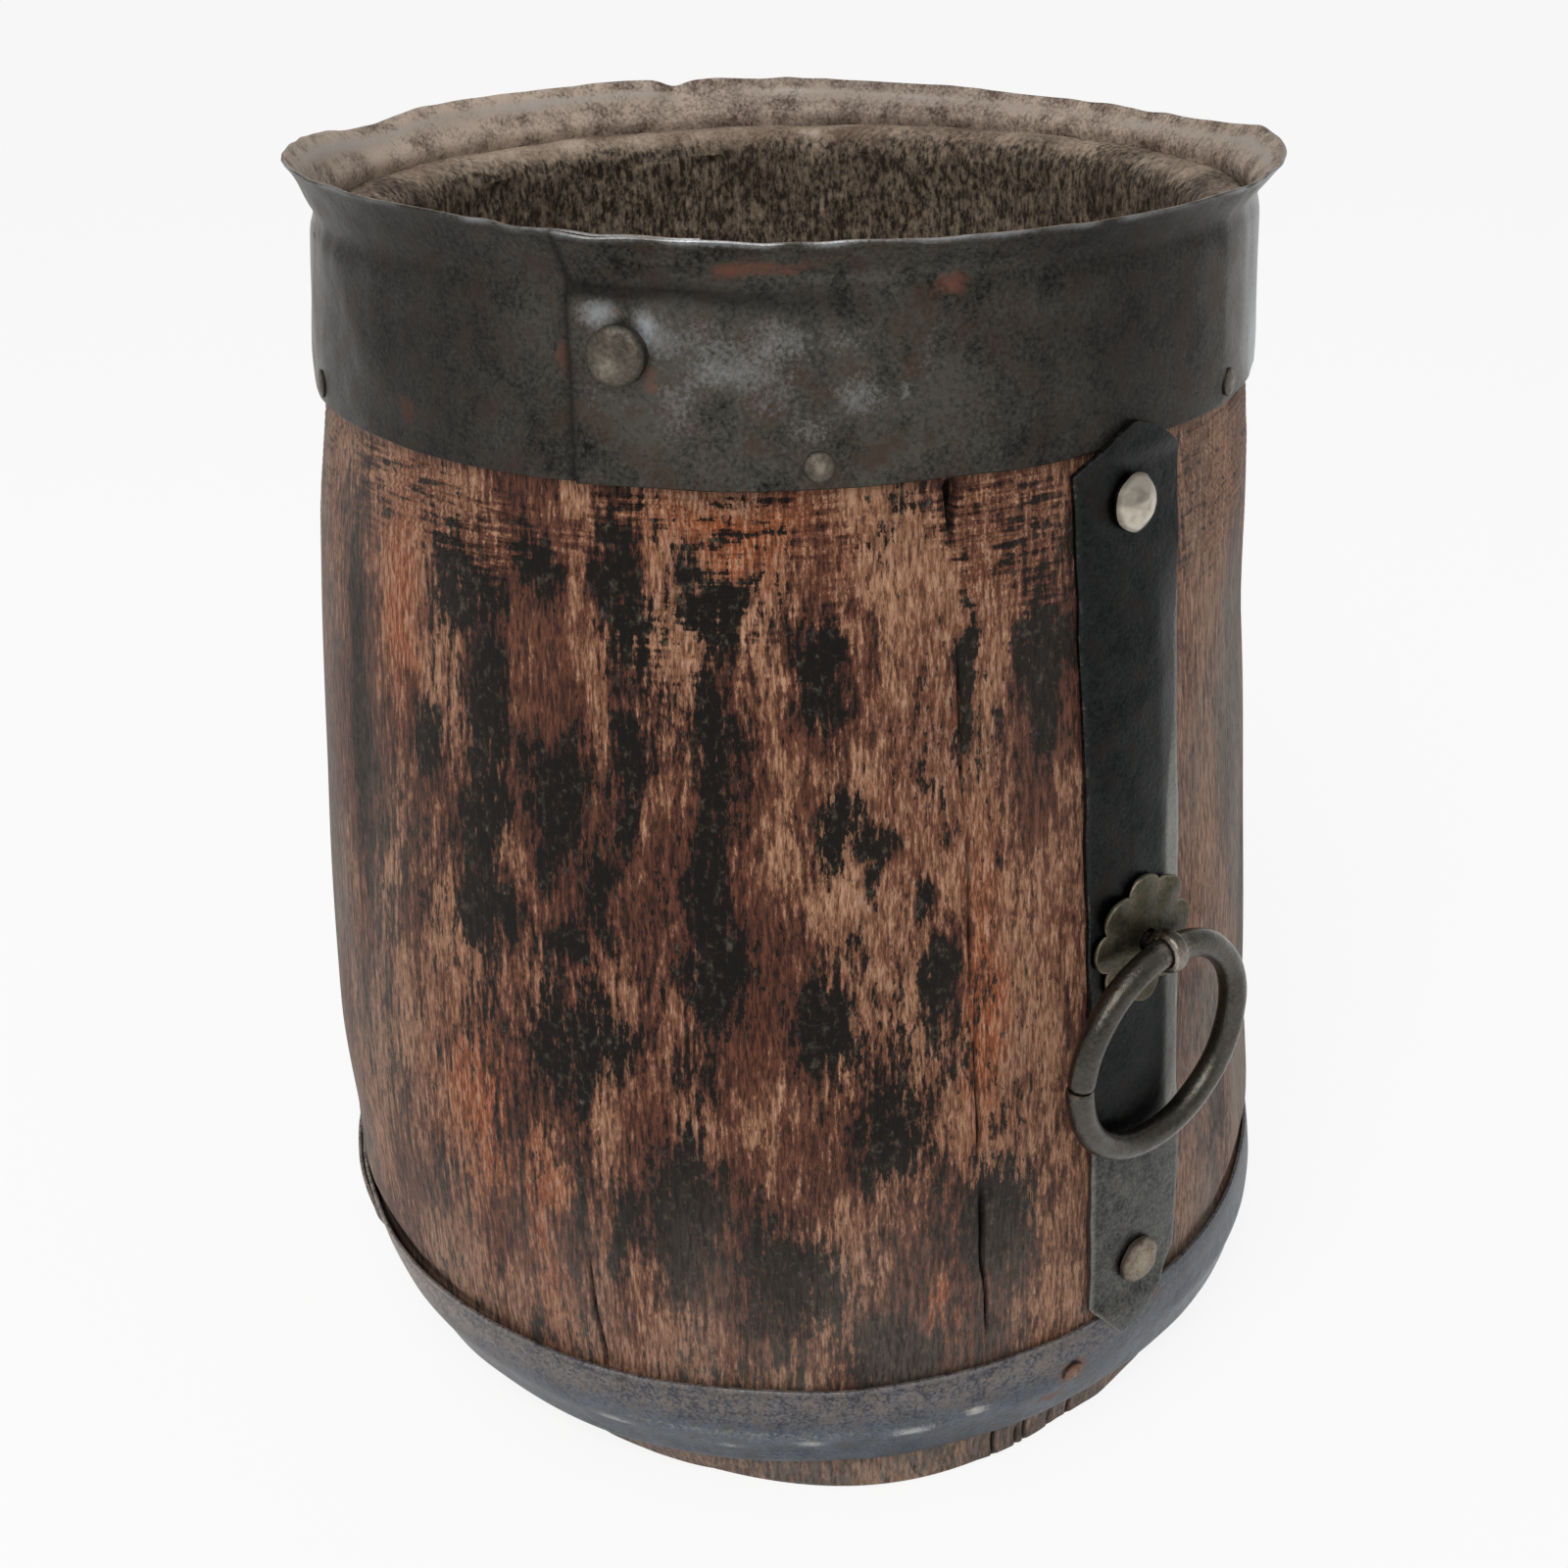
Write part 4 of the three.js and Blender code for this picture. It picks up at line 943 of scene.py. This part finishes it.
# Bright: the worn lip edge, and painted highlights and reflections. Dark: painted shadow and shade, the seam's
# dirty line, and a darker back inside the lip. Dust inside is thinner where the painted sheen lies.
rim_fields = {
    "rust": 0.75 * rim_rust * on_front,
    "bright": np.where(on_front, np.maximum(lip_edge * (share > AT_EDGE), painted_shine),
                       lip_sheen + 0.5 * gleam),
    "dirt_and_shade": np.where(on_front, np.maximum(np.maximum(0.8 * seam_shadow_and_dirt, 0.85 * shadow_under_lip), 0.58 * painted_side_shade),
                     0.3 * bell(apart(rim_azimuth, 128), 0.5)),
    "dust": (1 - on_front) * (0.92 - 0.5 * lip_sheen),
}
rim_place = polar(rim_radius + SHEET * thick, rim_azimuth, rim_height + bulge)
make_piece("rim_band_beaten", rim_place, "rim_band", rim_iron, rim_fields, caps=True)

# %% [markdown]
# ## Base band
#
# The band at the foot is bent the same way, but the other way round, and its edges were drawn in over
# the rounded foot. It has loosened with the years: at the seam its upper edge stands off the wood.

# %% Shape of the base band
BASE_SEAM = -107  # degrees
BASE_LAP = 24
BASE_ROWS = 22
DRAWN_IN = [(-112, 30, 0.9), (42, 24, 1.2)]  # azimuth and spread in degrees, mm inwards at the upper edge

_, base_azimuth, edge_line, lift = bent_strip(BASE_SEAM, -1, BASE_LAP, BELLY_RADIUS)
share, thick, bulge = strip_section(BASE_ROWS)
base_foot = BASE_LOW + 0.4 + 0.8 * noise(edge_line, 26, 51) - bulges(base_azimuth, BAND_SLIP[1:])
base_head = band_head(base_azimuth) + 0.4 * noise(edge_line, 18, 52)
base_height = base_foot + (base_head - base_foot) * share
base_points = polar(BELLY_RADIUS, base_azimuth, base_height)
hammered = 0.25 + 0.3 * noise(base_points, (16, 16, 12), 53) + 0.6 * bell(share - 0.42, 0.16)
base_radius = wood_radius(base_height) + WOOD_FIT + lift + lower_shift(base_azimuth, base_height)
dents = hammered - bulges(base_azimuth, DRAWN_IN) * share**2
base_radius += beside_strap(base_azimuth, BELLY_RADIUS) * dents
print("base band: widest", round(float(base_radius.max()), 1), "mm from the axis")

# %% Base band
# Painted glints of light on the band.
BASE_GLINTS = [(-38, 21, 4, 1.2), (-27, 23, 5, 1.2), (-47, 19, 3, 1), (-60, 21, 6, 1), (-20, 26, 3, 1.5),
               (100, 22, 6, 1.4), (160, 21, 5, 1.2), (205, 23, 7, 1.3)]
# Painted reflections: a light ridge along the band's middle, and its sides that turn away mirror the room.
BASE_REFLECTIONS = [(24, 16, 26, 9), (-100, 20, 40, 16), (-45, 25, 60, 3)]
BASE_RUST = [(-8.1, 26.5, 6, 5.5), (-10, 19, 5, 3), (4, 37, 4, 3), (118, 26, 6, 5)]
on_front = thick > 0.5
settled = 0.22 * step(share, 0.45, 0.8) * (1 - 0.7 * step(apart(base_azimuth, -10), 0, 0.3))
settled = settled + 0.5 * bell(apart(base_azimuth, -105), 0.4) * (1 - settled)
base_rust, glints, reflections = (spots(base_azimuth, base_height, BELLY_RADIUS, places) for places in
                             (BASE_RUST, BASE_GLINTS, BASE_REFLECTIONS))
# Bright: painted glints and reflections, and the worn edge. The dark field darkens a strip just under the upper
# edge.
base_fields = {
    "rust": 0.8 * base_rust * on_front,
    "bright": (0.7 * glints + 0.35 * reflections + 0.2 * (share > AT_EDGE)) * on_front,
    "dirt_and_shade": 0.3 * step(share, 0.9, 1) * on_front * (share < 0.98),
    "dust": np.where(on_front, settled, 0.4),
}
base_place = polar(base_radius + SHEET * thick, base_azimuth, base_height + bulge)
make_piece("base_band_drawn_in", base_place, "base_band", base_iron, base_fields, caps=True)

# %% [markdown]
# ## Side strap
#
# The strap is a flat bar, cut to a point at both ends and bent to the taper of the wood. It steps up onto
# both bands. The smith's hammer has bevelled its right edge, and the light that the bevel catches from the
# side is painted onto it.

# %% Shape of the side strap
STRAP_SHEET = 1.6
STRAP_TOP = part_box("side_strap")[1].z / MM
STRAP_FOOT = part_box("side_strap")[0].z / MM
STRAP_JOGGLE = 6
STRAP_ROWS = 190
STRAP_TIP = -4.5  # the lower point lies left of the middle
UPPER_POINT = 8
LOWER_POINT_LEFT = 11.5
LOWER_POINT_RIGHT = 16
BEVEL_START = 0.5  # share of half the width
BEVEL_LOW = 84
BEVEL_HIGH = 236


def strap_inner(at):
    """Underside of the strap: the wood, and one sheet's thickness more where it lies on a band."""
    over_rim = step(at, RIM_LOW - STRAP_JOGGLE, RIM_LOW - PLAY)
    over_base = 1 - step(at, BASE_TOP + PLAY, BASE_TOP + STRAP_JOGGLE)
    return wood_radius(at) + WOOD_FIT + (over_rim + over_base) * (SHEET + PLAY)


half_width = STRAP_HALF_WIDTH - 0.2
strap_height = np.linspace(STRAP_FOOT, STRAP_TOP, STRAP_ROWS)[:, None]
from_top = np.clip((STRAP_TOP - strap_height) / UPPER_POINT, 0, 1)
from_foot_left = np.clip((strap_height - STRAP_FOOT) / LOWER_POINT_LEFT, 0, 1)
from_foot_right = np.clip((strap_height - STRAP_FOOT) / LOWER_POINT_RIGHT, 0, 1)
ragged = 0.25 * noise(polar(0, 0, strap_height), 9, 61)
left = np.maximum(-0.5 - (half_width - 0.5) * from_top,
                  STRAP_TIP - 0.5 - (half_width + STRAP_TIP - 0.5) * from_foot_left) + ragged
right = np.minimum(0.5 + (half_width - 0.5) * from_top**0.7,
                   STRAP_TIP + 0.5 + (half_width - STRAP_TIP - 0.5) * from_foot_right**0.6) - ragged
share, thick, bulge = strip_section(26, edge=0.3)
across = left + (right - left) * share + bulge
strap_wood = wood_radius(strap_height)
strap_points = polar(strap_wood, across / strap_wood, strap_height)
bevel_zone = step(strap_height, BEVEL_LOW, BEVEL_LOW + 16)
bevel_zone = bevel_zone * (1 - step(strap_height, BEVEL_HIGH - 24, BEVEL_HIGH))
margin = bevel_zone * np.clip((across / half_width - BEVEL_START) / (1 - BEVEL_START), 0, 1)
wavy = unevenness(strap_points, [(0.22, (16, 16, 30), 62), (0.1, (5, 5, 7), 63)])
strap_radius = strap_inner(strap_height) + STRAP_SHEET * thick + (thick > 0.5) * (wavy - 1.2 * margin)
print("strap from", round(STRAP_FOOT, 1), "to", round(STRAP_TOP, 1), "mm high")

# %% Side strap
RUB_HEIGHT = 118  # the ring has rubbed the strap along the lower half of a circle
RUB_RADIUS = 29.5
near_edge = np.minimum(share, 1 - share) < 0.02
rubbed_low = 0.4 * (1 - step(strap_height, BEVEL_LOW, BEVEL_LOW + 13))
ring_rub = 0.25 * bell(np.hypot(across, strap_height - RUB_HEIGHT) - RUB_RADIUS, 1.6)
ring_rub = ring_rub * (strap_height < RUB_HEIGHT)
upper_part = step(strap_height, 165, 200)
# Painted highlight on the bevel, fainter towards the top; the edges, the low end and the ring's path are worn
# bright.
bevelled = step(margin, 0.05 + 0.5 * upper_part, 0.35 + 0.5 * upper_part)
strap_bright = 0.28 * near_edge + (0.7 - 0.3 * upper_part) * bevelled + rubbed_low + ring_rub
strap_fields = {
    "rust": 0.35 * spots(across / strap_wood, strap_height, BELLY_RADIUS, [(0, 54, 8, 6), (-3, 37, 6, 4)]),
    "bright": np.clip(strap_bright, 0, 1),
}
strap_place = polar(strap_radius, across / strap_wood, strap_height)
make_piece("side_strap_forged", strap_place, "side_strap", strap_iron, strap_fields, caps=True)

# %% [markdown]
# ## Rosette
#
# Under the staple lies a thin washer, cut into eight lobes with shears and dished with a punch. Its
# surface is written in polar form: for each direction the edge is a lobe, and the dish rises towards the
# middle. The strap under it is round, so the dish is added to the strap's own radius.

# %% Rosette
EYE = np.array(frame["joints"][0]["pos_m"]) / MM
EYE_REACH_OUT = -EYE[1]
EYE_HEIGHT = EYE[2]
ROSETTE_RADIUS = (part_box("rosette")[1].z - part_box("rosette")[0].z) / MM / 2
ROSETTE_SHEET = 0.8
ROSETTE_DOME = 1.2
LOBES = 8
NOTCH = 2.2
LEG_HOLE = 2.75
ROSETTE_STEPS = 240

angle = np.linspace(0, 2 * np.pi, ROSETTE_STEPS, endpoint=False)[:, None]
share, thick, bulge = strip_section(16, edge=0.1)
lobe = np.abs(np.cos(LOBES * angle / 2)) ** 0.7
shorn = noise(polar(ROSETTE_RADIUS, angle, 0), 7, 64)
outline = ROSETTE_RADIUS - NOTCH * (1 - lobe) * (1 + 0.5 * shorn) - 0.9 * np.abs(shorn)
far = LEG_HOLE + (outline - LEG_HOLE) * share + bulge
rosette_height = EYE_HEIGHT + far * np.sin(angle)
strap_face = strap_inner(rosette_height) + STRAP_SHEET
dish = ROSETTE_DOME * np.clip(1 - (far / ROSETTE_RADIUS) ** 2, 0, 1)
veins = 0.3 * np.cos(LOBES * angle) * step(far, 6, 12)
curl = 0.9 * bell(apart(angle, 128), np.radians(24)) * step(far, 9, 15) + 0.35 * step(far, 12.5, 15.5)
rosette_radius = strap_face + PLAY + dish + curl + (thick > 0.5) * veins + ROSETTE_SHEET * thick
rosette_place = polar(rosette_radius, far * np.cos(angle) / strap_face, rosette_height)
rosette_fields = {
    "bright": 0.45 * (share > 0.94) + 0.2 * (share < 0.08),
    "rust": 0.35 * bell(far - LEG_HOLE, 3),
    "dust": 0.25 * step(far, 8, 13) * (1 - lobe),
}
make_piece("rosette_dished", rosette_place, "rosette", rosette_iron, rosette_fields, wrap=True)

# %% [markdown]
# ## Ring staple
#
# The staple is one length of half-round wire, bent round the ring's bar, with both legs pushed through
# the rosette, the strap and the wall, and clenched inside. Its midline is a path in one plane, and the
# half-round section is carried along it.

# %% Path of the ring staple
RING_BAR = 6.4
EYE_PLAY = 0.5
STAPLE_WIDTH = 3.8
STAPLE_THICKNESS = 1.4
STAPLE_BEND = 1.2
CLENCH_LENGTH = 14

eye_midline = RING_BAR / 2 + EYE_PLAY + STAPLE_THICKNESS / 2
leg_offset = (STAPLE_THICKNESS + PLAY) / 2
bend_height = leg_offset + STAPLE_BEND
eye_reach = np.sqrt((eye_midline + STAPLE_BEND) ** 2 - bend_height**2)


def staple_half(side):
    """Half of the midline, as distance from the axis and height over the eye, from clench to eye front."""
    rest = PLAY + STAPLE_THICKNESS / 2
    wall = cavity_radius(EYE_HEIGHT + side * np.array([0, bend_height, CLENCH_LENGTH])) - rest
    lean = np.arctan2(wall[2] - wall[0], CLENCH_LENGTH)
    bend_centre = (wall[1] + STAPLE_BEND * np.cos(lean), bend_height)
    into = np.degrees(np.arctan2(-bend_height, eye_reach))
    leg_end = EYE_REACH_OUT - eye_reach
    line = np.vstack([
        np.linspace((wall[2], CLENCH_LENGTH), (wall[1], bend_height + 0.6), 8),
        arc(bend_centre, STAPLE_BEND, 180 - np.degrees(lean), 270, 9)[1:],
        np.linspace((bend_centre[0] + 2, leg_offset), (leg_end - 2, leg_offset), 6),
        arc((leg_end, bend_height), STAPLE_BEND, -90, into, 7),
        arc((EYE_REACH_OUT, 0), eye_midline, 180 + into, 0, 26)[1:],
    ])
    return line * (1, side)


# %% Ring staple
midline = np.vstack([staple_half(1), staple_half(-1)[-2::-1]])
direction = np.gradient(midline, axis=0)
direction /= np.linalg.norm(direction, axis=1, keepdims=True)
outward = np.stack([-direction[:, 1], direction[:, 0]], -1)
half_round = np.linspace(0, np.pi, 9)
flat_side = np.linspace(0.9, -0.9, 9)
wide = STAPLE_WIDTH / 2 * np.concatenate([-np.cos(half_round), flat_side])[None, :]
deep = STAPLE_THICKNESS * np.concatenate([np.sin(half_round) ** 0.7 - 0.5, 0 * flat_side - 0.5])[None, :]
staple_place = np.stack([
    np.broadcast_to(wide, (len(midline), wide.size)),
    -(midline[:, :1] + deep * outward[:, :1]),
    EYE_HEIGHT + midline[:, 1:] + deep * outward[:, 1:],
], -1)
worn_eye = bell(midline[:, :1] - EYE_REACH_OUT - eye_midline, 3)
staple_fields = {"bright": 0.5 * worn_eye + 0.25 * (np.abs(wide) > 1.6), "rust": 0.4 * (1 - worn_eye)}
make_piece("ring_staple_bent", staple_place, "ring_staple", bar_iron, staple_fields, caps=True)

# %% [markdown]
# ## Ring
#
# The ring is a round bar bent hot until its ends met. The joint was never welded, and the two ends still
# show. Its place and lean come from the frame's own ring: the middle of its corners, and the direction
# in which they spread the least, which is the ring's axis.

# %% Corners of a node
def node_points(name):
    """Corners of a node of the frame, in mm."""
    corners = frame["nodes"][name].data.vertices
    flat = np.empty(3 * len(corners))
    corners.foreach_get("co", flat)
    return flat.reshape(-1, 3) / MM


# %% Ring
RING_JOINT = 0.5
RING_JOINT_ANGLE = np.radians(178)
RING_STEPS = 240
RING_SIDES = 22

ring_corners = node_points("ring")
ring_low, ring_high = ring_corners.min(0), ring_corners.max(0)
ring_middle = (ring_low + ring_high) / 2
ring_axis = np.linalg.svd(ring_corners - ring_corners.mean(0), full_matrices=False)[2][2]
ring_axis *= np.sign(ring_axis[1])
sideways = np.array([1.0, 0, 0])
upward = np.cross(sideways, ring_axis)
ring_radius = (ring_high[0] - ring_low[0] - RING_BAR) / 2
gap = RING_JOINT / ring_radius
turn_angle = RING_JOINT_ANGLE + np.linspace(gap / 2, 2 * np.pi - gap / 2, RING_STEPS)[:, None]
side_angle = np.linspace(0, 2 * np.pi, RING_SIDES, endpoint=False)[None, :]
spoke = np.cos(turn_angle)[..., None] * sideways + np.sin(turn_angle)[..., None] * upward
from_end = np.minimum(turn_angle - turn_angle[0], turn_angle[-1] - turn_angle) * ring_radius
smooth_ring = ring_middle + spoke * ring_radius + 3 * side_angle[..., None]
forged = 1 + 0.035 * noise(smooth_ring, 7, 71) - 0.12 * bell(from_end, 0.5)
bar = RING_BAR / 2 * forged
slip = 0.35 * bell(turn_angle - turn_angle[0], 0.25)
reach = ring_radius + bar * np.cos(side_angle) + slip
ring_place = ring_middle + spoke * reach[..., None] + ring_axis * (bar * np.sin(side_angle))[..., None]
under_eye = bell(apart(turn_angle, 90), 0.2)
ring_fields = {"bright": 0.1 + 0.45 * under_eye + 0.2 * bell(from_end, 1.0), "rust": 0.3 * bell(from_end, 3)}
make_piece("ring_bent", ring_place, "ring", bar_iron, ring_fields, caps=True)
print("ring leans", round(float(np.degrees(np.arctan2(ring_axis[2], ring_axis[1]))), 2), "degrees")

# %% [markdown]
# ## Nails
#
# All the nails are hand-made or old, so no two heads are alike. Each one is a turned profile about its own
# axis, with its head pressed out of round by a random field. The axis is read from the frame: it runs from
# the corner nearest to the middle of the measure, which is the nail's point, through the corners' mean.
# The nails of the bands are driven a little deeper or less deep, until their heads lie on the dented sheet.

# %% Satin nickel
# Cast or plated nickel, rubbed by hands: a pale warm metal with duller spots, and painted shade round its
# edge, a dark reflection that makes the dome look round.
nickel, tree = new_finish("satin_nickel")
tarnish = patterns(tree, {"tarnish": (2.5, 2.5, 0.5)}, detail=4)["tarnish"]
spotted = cover(tree, tarnish, 0.45, 0.75, 0.6)
painted_edge_shade = add(tree, FIELD, attribute_name="dirt_and_shade").outputs["Fac"]
surface = add(tree, "ShaderNodeBsdfPrincipled", {
    "Base Color": coated(tree, "#bfb6a8", [(spotted, "#6f6456"), (painted_edge_shade, "#3b3128")]),
    "Metallic": 1.0,
    "Roughness": cover(tree, tarnish, 0, 1, most=0.36, least=0.14),
})
add(tree, "ShaderNodeOutputMaterial", {"Surface": surface.outputs[0]})
print("satin_nickel:", len(tree.nodes), "nodes")

# %% Driven nails
NAIL_SIDES = 36
CROWN_ROWS = 14
POINT_LENGTH = 2.5
RIM_NAILS = 6
BASE_NAILS = 3


def nail_sizes(node):
    """Crown, axis and heights of a nail of the frame: underside, edge and point below the crown."""
    corners = node_points(node)
    reach = np.hypot(corners[:, 0], corners[:, 1])
    point = corners[reach.argmin()]
    axis = corners.mean(0) - point
    axis /= np.linalg.norm(axis)
    crown = point + axis * ((corners - point) @ axis).max()
    along = (corners - crown) @ axis
    off = np.linalg.norm(corners - crown - along[:, None] * axis, axis=1)
    on_edge = along[off > 0.95 * off.max()]
    shank = off[(along < on_edge.min() - 0.5) & (off > 0.1)].max()
    return crown, axis, off.max(), shank, on_edge.min(), on_edge.max(), along.min()


def driven_nail(node, finish, flatness, dents, seed, bright=0.2, rust=0.2, scuff=(0, 0, 0.6), sink=0):
    """Turned nail: a shank with a point, and a crown that falls off by a power of the radius."""
    crown, axis, head, shank, under, edge, length = nail_sizes(node)
    crown = crown - sink * axis
    out = np.linspace(1, 0, CROWN_ROWS)
    radii = np.concatenate([[0, shank, shank, 0.93 * head, 0.985 * head], head * out])[:, None]
    shank_rises = [length, length + POINT_LENGTH, under, under, under + 0.15]
    rises = np.concatenate([shank_rises, edge * out**flatness])[:, None]
    ring_angle = np.linspace(0, 2 * np.pi, NAIL_SIDES, endpoint=False)[None, :]
    across = np.cross(axis, (0, 0, 1.0))
    across /= np.linalg.norm(across)
    beside = np.cross(axis, across)
    spoke = np.cos(ring_angle)[..., None] * across + np.sin(ring_angle)[..., None] * beside
    on_head = (np.arange(len(radii)) > 2)[:, None]
    on_crown = (np.arange(len(radii)) > 4)[:, None] & (radii > 0)
    ragged = 1 + on_head * 0.05 * noise(head * spoke, 2.5, seed)
    plain = crown + spoke * radii[..., None] + axis * rises[..., None]
    pressed = rises + on_crown * dents * noise(plain, 2.2, seed + 1)
    points = crown + spoke * (radii * ragged)[..., None] + axis * pressed[..., None]
    left, down, size = scuff
    share = radii / head
    away = np.hypot(share * np.cos(ring_angle) - left, share * np.sin(ring_angle) - down)
    # Painted shade round the edge of each head, a dark reflection that makes the crown look domed.
    edge_shade = 0.6 * step(share, 0.86, 0.97) * on_head
    fields = {"bright": bright * bell(away, size) * on_head, "rust": rust * on_head, "dirt_and_shade": edge_shade}
    make_piece(node + "_driven", points, node, finish, fields)


def down_to(band, node):
    """How much deeper a nail is driven so that its head lies on the beaten band, not on the even one."""
    crown, axis, head, _, under = nail_sizes(node)[:5]
    along = (band - crown) @ axis
    off = np.linalg.norm(band - crown - along[..., None] * axis, axis=-1)
    return under - along[(off < head) & (along > -20)].max() + 0.25


driven_nail("strap_top_nail", nickel, 2.0, 0.1, 81)
driven_nail("strap_bottom_nail", nail_iron, 3.0, 0.35, 83, bright=0.5, rust=0.3)
driven_nail("rim_seam_nail", dark_nail_iron, 7, 0.3, 85, bright=0.5, rust=0.1, scuff=(0.25, 0.35, 0.5))
for i in range(1, RIM_NAILS + 1):
    name = f"rim_nail_{i}"
    driven_nail(name, dark_nail_iron, 2.5, 0.15, 90 + 2 * i, bright=0.5, sink=down_to(rim_place, name))
for i in range(1, BASE_NAILS + 1):
    name = f"base_nail_{i}"
    sunk = down_to(base_place, name)
    driven_nail(name, nail_iron, 2.5, 0.15, 110 + 2 * i, bright=0.3, rust=0.7, sink=sunk)
    print(name, "driven", round(float(sunk), 2), "mm deeper than in the frame")
